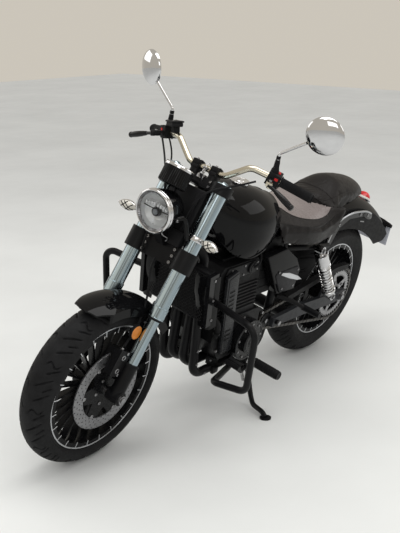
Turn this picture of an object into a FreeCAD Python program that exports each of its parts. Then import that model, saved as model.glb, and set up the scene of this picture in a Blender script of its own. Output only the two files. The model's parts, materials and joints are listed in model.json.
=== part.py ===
import FreeCAD, Part
import Sketcher
import math
import os
from types import SimpleNamespace

# A cruiser motorcycle, modelled upright and then leaned on its side stand.
# Upright frame: X ahead from the rear axle, Y to the rider's left, Z up from the floor, in millimetres.

Vector = FreeCAD.Vector
Rotation = FreeCAD.Rotation
Placement = FreeCAD.Placement

# Driving dimensions: alias, value in millimetres or degrees, what it is
sizes = [
    ("wheelBase", 1400, "rear axle to front axle"),
    ("rakeAngle", 27.2, "steering axis back from the vertical"),
    ("clampOffset", 45, "steering axis behind the fork tubes"),
    ("frontTyreRadius", 300, "front tyre, outside radius"),
    ("frontCrown", 64, "front tyre, half its width and radius of its crown"),
    ("frontTyreHeight", 67.5, "front tyre, above the rim's flange"),
    ("frontRimHalf", 47, "front rim, half its width over the flanges"),
    ("rearTyreRadius", 323, "rear tyre, outside radius"),
    ("rearCrown", 74, "rear tyre, half its width and radius of its crown"),
    ("rearTyreHeight", 103, "rear tyre, above the rim's flange"),
    ("rearRimHalf", 55, "rear rim, half its width over the flanges"),
    ("flangeWidth", 5, "rim flange, along the axle"),
    ("flangeHeight", 11, "rim flange, above the tyre's seat"),
    ("rimWall", 9, "rim barrel, wall"),
    ("spokeCount", 24, "spokes in each wheel"),
    ("spokeWidth", 8, "spoke, around the wheel"),
    ("spokeDepth", 26, "spoke, along the axle"),
    ("frontHubRadius", 42, "front hub, radius"),
    ("frontHubHalf", 58, "front hub, half its length"),
    ("rearHubRadius", 58, "rear hub, radius"),
    ("rearHubHalf", 78, "rear hub, half its length"),
    ("frontAxleRadius", 10, "front axle, outside radius"),
    ("frontAxleBore", 7, "front axle, radius of its bore"),
    ("rearAxleRadius", 11, "rear axle, outside radius"),
    ("rearAxleBore", 8, "rear axle, radius of its bore"),
    ("runningGap", 0.25, "radial gap of a wheel on its axle and of the steering stem"),
    ("fitGap", 0.1, "gap of a fixed shaft in its hole"),
    ("seatGap", 0.3, "gap between pieces that rest on each other"),
    ("discRadius", 148, "front brake disc, outside"),
    ("discInner", 106, "front brake disc, inside of its band"),
    ("discThickness", 5, "brake discs, thickness"),
    ("rearDiscRadius", 110, "rear brake disc, outside"),
    ("rearDiscInner", 76, "rear brake disc, inside of its band"),
    ("carrierRadius", 62, "disc carriers, radius of the middle ring"),
    ("carrierArms", 6, "arms of a disc carrier"),
    ("tubeSpread", 105, "fork tubes, each side of the middle"),
    ("outerTubeRadius", 27, "fork, outer tube's radius"),
    ("collarRadius", 29.5, "fork, radius of the outer tube's lower collar"),
    ("innerTubeRadius", 20.5, "fork, inner tube's radius"),
    ("collarLow", 292, "axle to the lower end of the collar, along the fork"),
    ("collarHigh", 335, "axle to the upper end of the collar"),
    ("footTop", 116, "axle to the upper end of the fork foot"),
    ("reflectorRadius", 24, "front reflector, radius"),
    ("footRadius", 25, "fork foot, radius"),
    ("footLug", 24, "fork foot, radius of its axle lug"),
    ("lugLength", 52, "fork foot, length of its axle lug"),
    ("lowerClampLow", 463, "axle to the lower clamp's underside"),
    ("lowerClampHeight", 73, "lower clamp, height"),
    ("upperClampLow", 748, "axle to the upper clamp's underside"),
    ("upperClampHeight", 36, "upper clamp, height"),
    ("clampRing", 37, "clamps, radius around each fork tube"),
    ("stemRadius", 15, "steering stem, radius"),
    ("headTubeRadius", 30, "frame's head tube, outside radius"),
    ("headGap", 6, "head tube's ends to the clamps"),
    ("barRadius", 11, "handlebar, radius"),
    ("barUp", 815, "axle to the middle of the handlebar, along the fork"),
    ("barBehind", 20, "handlebar behind the fork tubes"),
    ("riserSpread", 40, "risers, each side of the middle"),
    ("riserRadius", 19, "risers, radius"),
    ("gripRadius", 17, "hand grip, radius"),
    ("gripLength", 118, "hand grip, length"),
    ("lampRadius", 80, "headlight, outside radius of its rim"),
    ("lampDepth", 112, "headlight, depth of its bowl"),
    ("lampWall", 3, "headlight bowl, wall"),
    ("lampUp", 603, "axle to the headlight's middle, along the fork"),
    ("lampAhead", 143, "headlight's middle ahead of the fork tubes"),
    ("lensThickness", 5, "headlight lens, thickness"),
    ("indicatorUp", 585, "axle to the front indicators, along the fork"),
    ("gaugeRadius", 47, "instrument, radius"),
    ("gaugeHeight", 60, "instrument, height"),
    ("gaugeTop", 770, "axle to the instrument's top, along the fork"),
    ("gaugeAhead", 123, "instrument's middle ahead of the fork tubes"),
    ("mirrorRadius", 63, "mirror, radius"),
    ("mirrorDepth", 20, "mirror, depth of its back"),
    ("stalkRadius", 5, "mirror stalk, radius"),
    ("indicatorLength", 86, "indicator, length of its body"),
    ("indicatorRadius", 21, "indicator, radius of its body"),
    ("guardTube", 17, "frame's down tubes and lower rails, radius"),
    ("cradleSpread", 76, "down tubes and lower rails, each side of the middle"),
    ("cradleUp", 201, "lower rails, height"),
    ("cradleBehind", 467, "lower front corner of the cradle, behind the front axle"),
    ("postAhead", 500, "rear posts of the frame, ahead of the rear axle"),
    ("backboneRadius", 24, "frame's backbone tube, radius"),
    ("railRadius", 12, "seat rails, radius"),
    ("railSpread", 114, "seat rails beside the fender, each side of the middle"),
    ("crashTube", 12.7, "crash bar tube, radius"),
    ("crashReach", 360, "crash bars, outermost tube's line each side of the middle"),
    ("pivotRadius", 10, "swingarm pivot bolt, radius"),
    ("pivotUp", 335, "swingarm pivot, height"),
    ("armSpread", 121, "swingarm's arms, each side of the middle"),
    ("armWidth", 18, "swingarm's arms, across"),
    ("armHeight", 46, "swingarm's arms, height"),
    ("shockSpread", 156, "rear shocks, each side of the middle"),
    ("shockRadius", 16, "rear shock, radius of its damper"),
    ("springRadius", 27, "rear shock, outside radius of its spring"),
    ("springWire", 5, "rear shock, radius of the spring's wire"),
    ("sprocketRadius", 112, "rear sprocket, radius"),
    ("sprocketPlane", 100, "rear sprocket's plane, left of the middle"),
    ("frontSprocketRadius", 32, "front sprocket, radius"),
    ("chainGap", 5, "chain clear of the rear sprocket"),
    ("chainThickness", 12, "chain, thickness across its links"),
    ("chainWidth", 13, "chain, width"),
    ("engineLow", 250, "crankcase, height of its underside"),
    ("engineHigh", 425, "crankcase, height of its joint face"),
    ("engineGap", 55, "crankcase's back, ahead of the frame's rear posts"),
    ("engineFrontGap", 33, "crankcase's front, behind the cradle's front corner"),
    ("engineHalf", 105, "crankcase, half its width"),
    ("headHigh", 655, "top of the cylinder head, height"),
    ("coverRadius", 86, "side covers of the crankcase, radius"),
    ("coverDepth", 34, "side covers of the crankcase, depth"),
    ("capRadius", 50, "round cap on a side cover, radius"),
    ("capDepth", 16, "round cap on a side cover, depth"),
    ("slatDepth", 17, "slotted side covers of the cylinders, depth"),
    ("radiatorHalf", 145, "radiator, half its width"),
    ("radiatorHeight", 210, "radiator, height"),
    ("radiatorDepth", 28, "radiator, depth"),
    ("shroudThickness", 16, "radiator shrouds, thickness"),
    ("headerRadius", 19, "exhaust headers, radius"),
    ("mufflerRadius", 42, "muffler, radius"),
    ("mufflerSide", 186, "muffler's middle line, right of the middle"),
    ("fenderRadius", 772, "rear fender, outside radius of its crown"),
    ("fenderCrown", 789, "rear fender, height of its crown"),
    ("fenderAhead", 129, "rear fender, highest point ahead of the rear axle"),
    ("fenderHalf", 98, "rear fender, half its width"),
    ("fenderSkirt", 140, "rear fender, depth of its sides"),
    ("tankEndRadius", 160, "tank's rounded back, radius seen from above"),
    ("seamRadius", 160, "seam between the seats, radius seen from above"),
    ("seamAhead", 175, "centre of the seats' seam, ahead of the rear axle"),
    ("fenderWall", 4, "fenders, wall"),
    ("frontFenderGap", 30, "front fender's crown outside the tyre"),
    ("frontFenderHalf", 73, "front fender, half its width"),
    ("frontFenderSkirt", 54, "front fender, depth of its sides"),
    ("plateHalf", 89, "number plate, half its width"),
    ("plateHeight", 92, "number plate, height"),
    ("pegRadius", 16, "rider's pegs, radius"),
    ("pegGap", 222, "rider's pegs, ahead of the frame's rear posts"),
    ("pegUp", 258, "rider's pegs, height"),
    ("pegReach", 322, "rider's pegs, outer end each side of the middle"),
    ("standRadius", 10, "side stand's leg, radius"),
    ("standGap", 155, "side stand's pivot, ahead of the frame's rear posts"),
    ("standEye", 16, "side stand's eye, radius"),
    ("standPin", 6, "side stand's pin, radius"),
    ("standFootAhead", 752, "side stand's foot, ahead of the rear axle along the floor"),
    ("standFootLeft", 339, "side stand's foot, left of the tyre line along the floor"),
    ("footPadRadius", 22, "side stand's foot, radius"),
    ("footPadHeight", 6, "side stand's foot, thickness"),
    ("leanAngle", 14.24, "lean onto the side stand"),
    ("originAhead", 624, "origin, ahead of the rear axle along the floor"),
    ("originLeft", 229, "origin, left of the tyre line along the floor"),
]

doc = FreeCAD.newDocument("cruiser")
sheet = doc.addObject("Spreadsheet::Sheet", "dims")
for row, (alias, value, meaning) in enumerate(sizes, start=1):
    sheet.set(f"A{row}", meaning)
    sheet.set(f"B{row}", str(value))
    sheet.setAlias(f"B{row}", alias)
doc.recompute()
d = SimpleNamespace(**{alias: float(sheet.get(alias)) for alias, value, meaning in sizes})

# Directions and the two axles
ahead = Vector(1, 0, 0)
left = Vector(0, 1, 0)
up = Vector(0, 0, 1)
noTurn = Rotation()
rearAxle = Vector(0, 0, d.rearTyreRadius)
frontAxle = Vector(d.wheelBase, 0, d.frontTyreRadius)
forkTurn = Rotation(left, -d.rakeAngle)
forkUp = forkTurn.multVec(up)
forkAhead = forkTurn.multVec(ahead)
frontRimRadius = d.frontTyreRadius - d.frontTyreHeight
rearRimRadius = d.rearTyreRadius - d.rearTyreHeight
cradleAhead = d.wheelBase - d.cradleBehind
cradleSpan = cradleAhead - d.postAhead
fenderCentre = Vector(d.fenderAhead, 0, d.fenderCrown - d.fenderRadius)
fenderLead = 5
fenderTail = 44.5
crownFall = 0.45
engineBack = d.postAhead + d.engineGap
engineFront = cradleAhead - d.engineFrontGap

nodes = {}


def onFork(height, forward=0, side=0):
    # a place measured from the front axle along the fork, ahead of its tubes and to the left
    return frontAxle + forkUp * height + forkAhead * forward + left * side


def along(share):
    # a share of the way from the frame's rear posts to the cradle's front corner
    return d.postAhead + share * cradleSpan


def give(piece, prop, size):
    # a size is either the alias of a driving dimension or a number worked out from them
    if isinstance(size, str):
        piece.setExpression(prop, f"dims.{size}")
    else:
        setattr(piece, prop, size)


def number(size):
    return getattr(d, size) if isinstance(size, str) else size


def rod(name, radius, start, end):
    piece = doc.addObject("Part::Cylinder", name)
    give(piece, "Radius", radius)
    piece.Height = (end - start).Length
    piece.Placement = Placement(start, Rotation(up, end - start))
    return piece


def block(name, length, width, height, middle, turn=noTurn):
    piece = doc.addObject("Part::Box", name)
    give(piece, "Length", length)
    give(piece, "Width", width)
    give(piece, "Height", height)
    half = Vector(number(length) / 2, number(width) / 2, number(height) / 2)
    piece.Placement = Placement(middle - turn.multVec(half), turn)
    return piece


def ball(name, radii, middle, turn=noTurn):
    piece = doc.addObject("Part::Ellipsoid", name)
    piece.Radius1 = radii[2]
    piece.Radius2 = radii[0]
    piece.Radius3 = radii[1]
    piece.Placement = Placement(middle, turn)
    return piece


def joined(name, pieces):
    whole = doc.addObject("Part::MultiFuse", name)
    whole.Shapes = pieces
    return whole


def less(name, base, tool):
    rest = doc.addObject("Part::Cut", name)
    rest.Base = base
    rest.Tool = tool
    return rest


def together(name, pieces):
    group = doc.addObject("Part::Compound", name)
    group.Links = pieces
    return group


def mirrored(piece):
    other = doc.addObject("Part::Mirroring", piece.Name + "_right")
    other.Source = piece
    other.Normal = left
    return other


def bothSides(name, piece):
    return together(name, [piece, mirrored(piece)])


def outline(name, points):
    # a closed outline of straight lines
    piece = doc.addObject("Part::Feature", name)
    piece.Shape = Part.makePolygon(points + points[:1])
    return piece


def prism(name, corners, start, depth):
    # corners are (ahead, up); the piece runs from start to start + depth to the left
    base = outline(name + "_outline", [Vector(x, number(start), z) for x, z in corners])
    piece = doc.addObject("Part::Extrusion", name)
    piece.Base = base
    piece.Dir = left
    give(piece, "LengthFwd", depth)
    piece.Solid = True
    return piece


def slab(name, corners, low, height):
    # corners are (ahead, left)
    piece = doc.addObject("Part::Extrusion", name)
    piece.Base = outline(name + "_outline", [Vector(x, y, low) for x, y in corners])
    piece.Dir = up
    piece.LengthFwd = height
    piece.Solid = True
    return piece


def turned(name, profile, base, axis, angle=360):
    piece = doc.addObject("Part::Revolution", name)
    piece.Source = profile
    piece.Base = base
    piece.Axis = axis
    piece.Angle = angle
    piece.Solid = True
    return piece


def bent(name, points, radius, bend):
    # a round tube along straight runs with tangent arcs of the radius bend at the corners
    edges = []
    start = points[0]
    for before, corner, after in zip(points, points[1:], points[2:]):
        inward = (before - corner).normalize()
        outward = (after - corner).normalize()
        half = inward.getAngle(outward) / 2
        trim = min(bend / math.tan(half), 0.45 * min((before - corner).Length, (after - corner).Length))
        arcRadius = trim * math.tan(half)
        entry = corner + inward * trim
        leave = corner + outward * trim
        middle = corner + (inward + outward).normalize() * (arcRadius / math.sin(half) - arcRadius)
        edges.append(Part.LineSegment(start, entry).toShape())
        edges.append(Part.Arc(entry, middle, leave).toShape())
        start = leave
    edges.append(Part.LineSegment(start, points[-1]).toShape())
    path = doc.addObject("Part::Feature", name + "_path")
    path.Shape = Part.Wire(edges)
    section = doc.addObject("Part::Circle", name + "_section")
    give(section, "Radius", radius)
    section.Placement = Placement(points[0], Rotation(up, points[1] - points[0]))
    piece = doc.addObject("Part::Sweep", name)
    piece.Sections = [section]
    piece.Spine = (path, [f"Edge{index + 1}" for index in range(len(edges))])
    piece.Solid = True
    return piece


def lofted(name, sections):
    # sections are closed wires with as many edges each
    wires = []
    for index, wire in enumerate(sections):
        holder = doc.addObject("Part::Feature", f"{name}_section{index}")
        holder.Shape = wire
        wires.append(holder)
    piece = doc.addObject("Part::Loft", name)
    piece.Sections = wires
    piece.Solid = True
    piece.Ruled = False
    return piece


def node(name, piece):
    piece.Label = name
    nodes[name] = piece
    return piece


def ring(name, outer, inner, thickness, middle):
    # a flat ring across the machine: a padded sketch of two circles
    body = doc.addObject("PartDesign::Body", name)
    sketch = body.newObject("Sketcher::SketchObject", name + "_sketch")
    plane = [item for item in body.Origin.OriginFeatures if item.Role == "XY_Plane"][0]
    sketch.AttachmentSupport = (plane, [""])
    sketch.MapMode = "FlatFace"
    for index, radius in enumerate((outer, inner)):
        sketch.addGeometry(Part.Circle(Vector(), up, number(radius)), False)
        sketch.addConstraint(Sketcher.Constraint("Coincident", index, 3, -1, 1))
        limit = sketch.addConstraint(Sketcher.Constraint("Radius", index, number(radius)))
        if isinstance(radius, str):
            sketch.setExpression(f"Constraints[{limit}]", f"dims.{radius}")
    pad = body.newObject("PartDesign::Pad", name + "_pad")
    pad.Profile = sketch
    give(pad, "Length", thickness)
    pad.Midplane = True
    body.Placement = Placement(middle, Rotation(up, left))
    return body


# Wheels: a tyre, a cast rim with thin spokes, and what is bolted to the hub


def tyre(name, axle, tyreRadius, crown, rimRadius, rimHalf):
    bead = rimHalf - d.flangeWidth
    seat = rimRadius - d.flangeHeight
    lift = math.radians(6)
    middle = axle + up * (tyreRadius - crown)
    shoulder = [middle + Vector(0, side * crown * math.cos(lift), crown * math.sin(lift)) for side in (1,
            -1)]
    beads = [
        (bead, seat), (bead, rimRadius + d.seatGap), (rimHalf + 4, rimRadius + d.seatGap),
    ]
    leftSide = [axle + Vector(0, side, radius) for side, radius in beads]
    rightSide = [axle + Vector(0, -side, radius) for side, radius in reversed(beads)]
    edges = [Part.LineSegment(a, b).toShape() for a, b in zip(leftSide, leftSide[1:] + [shoulder[0]])]
    edges.append(Part.Arc(shoulder[0], axle + up * tyreRadius, shoulder[1]).toShape())
    round_ = [shoulder[1]] + rightSide + [leftSide[0]]
    edges += [Part.LineSegment(a, b).toShape() for a, b in zip(round_, round_[1:])]
    profile = doc.addObject("Part::Feature", name + "_profile")
    profile.Shape = Part.Wire(edges)
    node(name, turned(name, profile, axle, left))


def rim(name, axle, rimRadius, rimHalf, hubRadius, hubHalf, axleRadius):
    seat = rimRadius - d.flangeHeight
    inner = seat - d.rimWall
    bead = rimHalf - d.flangeWidth
    profile = outline(name + "_profile", [
        axle + Vector(0, side, radius) for side, radius in (
            (-rimHalf, rimRadius), (-bead, rimRadius), (-bead, seat), (bead, seat), (bead, rimRadius),
            (rimHalf, rimRadius), (rimHalf, inner), (-rimHalf, inner))
    ])
    barrel = turned(name + "_barrel", profile, axle, left)
    hub = rod(name + "_hub", hubRadius, axle - left * hubHalf, axle + left * hubHalf)
    spokes = []
    for index in range(int(d.spokeCount)):
        turn = Rotation(left, 360 * index / d.spokeCount)
        reach = inner + d.rimWall / 2 - hubRadius / 2
        middle = axle + turn.multVec(up * (hubRadius / 2 + reach / 2))
        spokes.append(block(f"{name}_spoke{index}", "spokeWidth", "spokeDepth", reach, middle, turn))
    whole = joined(name + "_cast", [barrel, hub] + spokes)
    bore = rod(name + "_bore", axleRadius + d.runningGap, axle - left * (hubHalf + 1),
               axle + left * (hubHalf + 1))
    node(name, less(name, whole, bore))


def disc(name, axle, outer, inner, plane, hubRadius):
    band = ring(name + "_band", outer, inner, "discThickness", axle + left * plane)
    middle = ring(name + "_middle", "carrierRadius", hubRadius * 0.62, "discThickness", axle + left * plane)
    arms = []
    for index in range(int(d.carrierArms)):
        turn = Rotation(left, 360 * (index + 0.5) / d.carrierArms)
        start = d.carrierRadius - 4
        reach = number(inner) + 6 - start
        place = axle + left * plane + turn.multVec(up * (start + reach / 2))
        arms.append(block(f"{name}_arm{index}", 16, "discThickness", reach, place, turn))
    return joined(name, [band, middle] + arms)


tyre("front_tyre", frontAxle, d.frontTyreRadius, d.frontCrown, frontRimRadius, d.frontRimHalf)
rim("front_rim", frontAxle, frontRimRadius, d.frontRimHalf, d.frontHubRadius, d.frontHubHalf,
    d.frontAxleRadius)
discPlane = d.frontHubHalf + d.discThickness / 2 + d.seatGap
node("front_disc", disc("front_disc", frontAxle, "discRadius", "discInner", discPlane, d.frontHubRadius))
tyre("rear_tyre", rearAxle, d.rearTyreRadius, d.rearCrown, rearRimRadius, d.rearRimHalf)
rim("rear_rim", rearAxle, rearRimRadius, d.rearRimHalf, d.rearHubRadius, d.rearHubHalf, d.rearAxleRadius)
rearDiscPlane = d.rearHubHalf + d.discThickness / 2 + d.seatGap
node("rear_disc",
     disc("rear_disc", rearAxle, "rearDiscRadius", "rearDiscInner", -rearDiscPlane, d.rearHubRadius))
sprocketBoss = rod("sprocket_boss", 46, rearAxle + left * (d.rearHubHalf + d.seatGap),
                   rearAxle + left * d.sprocketPlane)
sprocketHole = rod("sprocket_hole", 30, rearAxle + left * d.rearHubHalf,
                   rearAxle + left * (d.sprocketPlane + 9))
sprocketPlate = disc("rear_sprocket_plate", rearAxle, "sprocketRadius", 84, d.sprocketPlane,
                     d.rearHubRadius)
node("rear_sprocket",
     less("rear_sprocket", joined("rear_sprocket_body", [sprocketPlate, sprocketBoss]), sprocketHole))

# Fork: tubes, feet, clamps and the axle they carry


def forkRod(name, radius, low, high, forward=0, side=0):
    return rod(name, radius, onFork(low, forward, side), onFork(high, forward, side))


clampTop = d.upperClampLow + d.upperClampHeight
outerTube = joined("outer_tube", [
    forkRod("outer_tube_run", "outerTubeRadius", d.collarHigh, clampTop, 0, d.tubeSpread),
    forkRod("outer_tube_collar", "collarRadius", d.collarLow, d.collarHigh, 0, d.tubeSpread),
])
tubeHollow = forkRod("outer_tube_hollow", d.innerTubeRadius + d.fitGap, d.collarLow - 1, d.collarLow + 24,
                     0, d.tubeSpread)
node("fork_outer_tubes", bothSides("fork_outer_tubes", less("outer_tube_left", outerTube, tubeHollow)))
innerTube = forkRod("inner_tube", "innerTubeRadius", d.footTop - 30, d.collarLow + 23, 0, d.tubeSpread)
node("fork_inner_tubes", bothSides("fork_inner_tubes", innerTube))

lugIn = d.tubeSpread - d.lugLength / 2
lugOut = d.tubeSpread + d.lugLength / 2
footBody = joined("foot_body", [
    forkRod("foot_leg", "footRadius", 0, d.footTop, 0, d.tubeSpread),
    rod("foot_lug", "footLug", frontAxle + left * lugIn, frontAxle + left * lugOut),
])
footHoles = joined("foot_holes", [
    forkRod("foot_socket", d.innerTubeRadius + d.fitGap, d.footTop - 30 - d.fitGap, d.footTop + 1, 0,
            d.tubeSpread),
    rod("foot_axle_hole", d.frontAxleRadius + d.fitGap, frontAxle + left * (lugIn - 1),
        frontAxle + left * (lugOut + 1)),
])
node("fork_feet", bothSides("fork_feet", less("foot_left", footBody, footHoles)))

axleEnd = lugOut + 9
spacerGap = 1.5
frontShaft = joined("front_shaft", [
    rod("front_axle_bar", "frontAxleRadius", frontAxle - left * axleEnd, frontAxle + left * axleEnd),
    rod("front_spacer_left", 17, frontAxle + left * (d.frontHubHalf + spacerGap),
        frontAxle + left * (lugIn - d.fitGap)),
    rod("front_spacer_right", 17, frontAxle - left * (lugIn - d.fitGap),
        frontAxle - left * (d.frontHubHalf + spacerGap)),
    rod("front_nut_left", 16, frontAxle + left * (lugOut + d.fitGap), frontAxle + left * axleEnd),
    rod("front_nut_right", 16, frontAxle - left * axleEnd, frontAxle - left * (lugOut + d.fitGap)),
])
frontBore = rod("front_axle_bore", "frontAxleBore", frontAxle - left * (axleEnd + 1),
                frontAxle + left * (axleEnd + 1))
node("front_axle", less("front_axle", frontShaft, frontBore))


def clamp(name, low, height, extra):
    middle = low + height / 2
    web = block(name + "_web", 46, 2 * d.tubeSpread, height, onFork(middle, -8), forkTurn)
    boss = forkRod(name + "_boss", 32, low, low + height, -d.clampOffset)
    rings = [forkRod(f"{name}_ring{side}", "clampRing", low, low + height, 0,
                     side * d.tubeSpread) for side in (1, -1)]
    holes = [
        forkRod(f"{name}_hole{side}", d.outerTubeRadius + d.fitGap, low - 1, low + height + 1, 0,
                side * d.tubeSpread)
        for side in (1, -1)
    ]
    return less(name, joined(name + "_body", [web, boss] + rings + extra), joined(name + "_holes", holes))


lampMiddle = onFork(d.lampUp, d.lampAhead)


def bowl(name, radius, depth, front):
    # columns are the share of the depth and of the radius
    shape = [(0, 1), (0.25, 0.99), (0.55, 0.84), (0.82, 0.55), (1, 0.22)]
    points = [lampMiddle + Vector(front - share * depth, 0, width * radius) for share, width in shape]
    points += [lampMiddle + Vector(front - depth, 0, 0), lampMiddle + Vector(front, 0, 0)]
    return turned(name, outline(name + "_profile", points), lampMiddle, ahead)


# columns are along the fork and ahead of its tubes
stayPlaces = [onFork(*place) for place in ((d.lowerClampLow + 58, -4), (d.lowerClampLow + 55, 24),
                                           (d.lampUp - 39, 106), (d.lampUp - 18, 65))]
lampStay = less("lamp_stay",
                prism("lamp_stay_outside", [(place.x, place.z) for place in stayPlaces], -16, 32),
                bowl("lamp_room", d.lampRadius + d.seatGap, d.lampDepth + 2 * d.seatGap, d.seatGap))
stem = forkRod("stem", "stemRadius", d.lowerClampLow, d.upperClampLow - d.fitGap, -d.clampOffset)
node("lower_clamp", clamp("lower_clamp", d.lowerClampLow, d.lowerClampHeight, [stem, lampStay]))
risers = [
    forkRod(f"riser{side}", "riserRadius", clampTop - 1, d.barUp + d.barRadius + 6, -d.barBehind,
            side * d.riserSpread)
    for side in (1, -1)
]
gaugeArm = block("gauge_arm", d.gaugeAhead - d.gaugeRadius - 10, 40, 9,
                 onFork(d.upperClampLow + 4.5, (d.gaugeAhead - d.gaugeRadius + 10) / 2 - d.seatGap),
                 forkTurn)
upperClamp = clamp("upper_clamp_body", d.upperClampLow, d.upperClampHeight, risers + [gaugeArm])
barHole = rod("bar_hole", d.barRadius + d.fitGap,
              onFork(d.barUp, -d.barBehind, 100), onFork(d.barUp, -d.barBehind, -100))
node("upper_clamp", less("upper_clamp", upperClamp, barHole))

# Handlebar: columns are ahead of and above its middle, and to the left
barRoute = [(0, 0, 0), (0, 0, 77), (-22, 60, 158), (-52, 46, 232), (-115, 10, 355)]
barMiddle = onFork(d.barUp, -d.barBehind)
leftBar = [barMiddle + Vector(x, y, z) for x, z, y in barRoute]
rightBar = [Vector(point.x, -point.y, point.z) for point in leftBar[1:]]
barPoints = rightBar[::-1] + leftBar[1:]
node("handlebar", bent("handlebar", barPoints, "barRadius", 45))
barRoom = bent("bar_room", barPoints, d.barRadius + d.fitGap, 45)
gripEnd = leftBar[-1]
gripWay = (leftBar[-1] - leftBar[-2]).normalize()
gripStart = gripEnd - gripWay * d.gripLength
grip = rod("grip", "gripRadius", gripStart, gripEnd + gripWay * 4)
gripHole = rod("grip_hole", d.barRadius + d.fitGap, gripStart - gripWay, gripEnd + gripWay * d.fitGap)
node("hand_grips", bothSides("hand_grips", less("grip_left", grip, gripHole)))
housingLength = 44
housingMiddle = gripStart - gripWay * (housingLength / 2 + 1)
gripTurn = Rotation(left, gripWay)
housing = block("housing", 46, housingLength, 44, housingMiddle, gripTurn)
perch = block("perch", 44, 16, 18, housingMiddle + gripTurn.multVec(Vector(36, -6, -4)), gripTurn)
boot = rod("mirror_boot", 8, housingMiddle + up * 20, housingMiddle + Vector(2, 0, 64))
node("switch_housings", bothSides("switch_housings",
     less("housing_left", joined("housing_body", [housing, perch, boot]), barRoom)))
leverStart = housingMiddle + gripTurn.multVec(Vector(64.5, -6, -4))
leverTip = gripEnd + Vector(118, 6, -14)
lever = bent("lever", [leverStart, leverStart + gripTurn.multVec(Vector(10, 30, -3)), leverTip], 6, 20)
node("hand_levers", bothSides("hand_levers", lever))
reservoirSeat = barMiddle + Vector(-36, 192, 54)
reservoirClamp = less("reservoir_clamp",
                      block("reservoir_clamp_body", 36, 22, 42, reservoirSeat + up * 5, gripTurn), barRoom)
reservoirCup = block("reservoir_cup", 46, 64, 30, reservoirSeat + Vector(11, 0, 38), gripTurn)
node("brake_reservoir", mirrored(joined("reservoir", [reservoirClamp, reservoirCup])))
mirrorMiddle = barMiddle + Vector(-60, 372, 237)
mirrorTurn = Rotation(up, Vector(-1, -0.33, 0.1))
mirrorOut = mirrorTurn.multVec(up)
toStalk = Vector(0, -0.82, -0.57)
toStalk = (toStalk - mirrorOut * toStalk.dot(mirrorOut)).normalize()
stalkEnd = mirrorMiddle + mirrorOut * 3 + toStalk * (d.mirrorRadius + 2 * d.seatGap)
stalkStart = housingMiddle + Vector(2, 0, 64 + d.seatGap)
stalk = bent("stalk", [stalkStart, stalkStart + Vector(0.7, 0, 22), stalkEnd], "stalkRadius", 14)
node("mirror_stalks", bothSides("mirror_stalks", stalk))
mirrorRim = rod("mirror_rim", "mirrorRadius", mirrorMiddle, mirrorMiddle + mirrorOut * 6)
mirrorBack = ball("mirror_back", (d.mirrorRadius, d.mirrorRadius, d.mirrorDepth), mirrorMiddle, mirrorTurn)
node("mirror_heads", bothSides("mirror_heads", joined("mirror_left", [mirrorRim, mirrorBack])))

# Headlight and instrument
lampHollow = bowl("lamp_hollow", d.lampRadius - d.lampWall, d.lampDepth - d.lampWall, 0.5)
lampShell = less("lamp_shell", bowl("lamp_outside", d.lampRadius, d.lampDepth, 0), lampHollow)
node("headlight_bucket", lampShell)
lensRadius = d.lampRadius - d.lampWall - d.seatGap
node("headlight_lens", rod("headlight_lens", lensRadius,
     lampMiddle - ahead * (2 + d.lensThickness), lampMiddle - ahead * 2))
node("gauge", forkRod("gauge", "gaugeRadius", d.gaugeTop - d.gaugeHeight, d.gaugeTop, d.gaugeAhead))
indicatorMiddle = onFork(d.indicatorUp, 33, 184)
indicatorBody = ball("indicator_body", (d.indicatorRadius * 0.9, d.indicatorRadius, d.indicatorLength / 2),
                     indicatorMiddle, Rotation(up, Vector(0.2, 1, 0)))
indicatorStem = rod("indicator_stem", 7, onFork(d.indicatorUp, 12, d.tubeSpread + 20), indicatorMiddle)
indicatorRing = forkRod("indicator_ring", 32, d.indicatorUp - 10, d.indicatorUp + 10, 0, d.tubeSpread)
tubeRoom = forkRod("indicator_tube", d.outerTubeRadius + d.fitGap, d.indicatorUp - 20, d.indicatorUp + 20,
                   0, d.tubeSpread)
indicatorSide = less("indicator_left",
                     joined("indicator_joined", [indicatorBody, indicatorStem, indicatorRing]), tubeRoom)
node("front_indicators", bothSides("front_indicators", indicatorSide))

# Front fender: a crowned band around the tyre, on two stays from each fork foot


def fender(name, centre, radius, half, skirt, wall, start, sweep, fall=0.3):
    # start and sweep are angles back from straight above the centre, fall is how far the sides drop
    def arch(outer, width, low):
        drop = fall * width
        places = [(-width, low), (-width, drop), (0, 0), (width, drop), (width, low)]
        return [centre + Vector(0, side, outer - down) for side, down in places]

    outside = arch(radius, half, skirt)
    inside = arch(radius - wall, half - wall, skirt - wall)
    edges = [
        Part.LineSegment(outside[0], outside[1]).toShape(),
        Part.Arc(outside[1], outside[2], outside[3]).toShape(),
        Part.LineSegment(outside[3], outside[4]).toShape(),
        Part.LineSegment(outside[4], inside[4]).toShape(),
        Part.LineSegment(inside[4], inside[3]).toShape(),
        Part.Arc(inside[3], inside[2], inside[1]).toShape(),
        Part.LineSegment(inside[1], inside[0]).toShape(), Part.LineSegment(inside[0], outside[0]).toShape(),
    ]
    wire = Part.Wire(edges)
    wire.rotate(centre, left, start)
    profile = doc.addObject("Part::Feature", name + "_profile")
    profile.Shape = wire
    return turned(name, profile, centre, left, -sweep)


frontFenderShell = fender("front_fender_shell", frontAxle, d.frontTyreRadius + d.frontFenderGap,
                          d.frontFenderHalf,
                          d.frontFenderSkirt, d.fenderWall, 20, 78)
stayOut = d.tubeSpread - d.footRadius - d.seatGap
stayThick = stayOut - d.frontFenderHalf + 1
stayLow = 48
stayTop = d.frontTyreRadius - 10
stays = [
    block(f"fender_stay{side}", 22, stayThick, stayTop - stayLow,
          onFork((stayTop + stayLow) / 2, 6, side * (stayOut - stayThick / 2)), forkTurn)
    for side in (1, -1)
]
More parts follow.
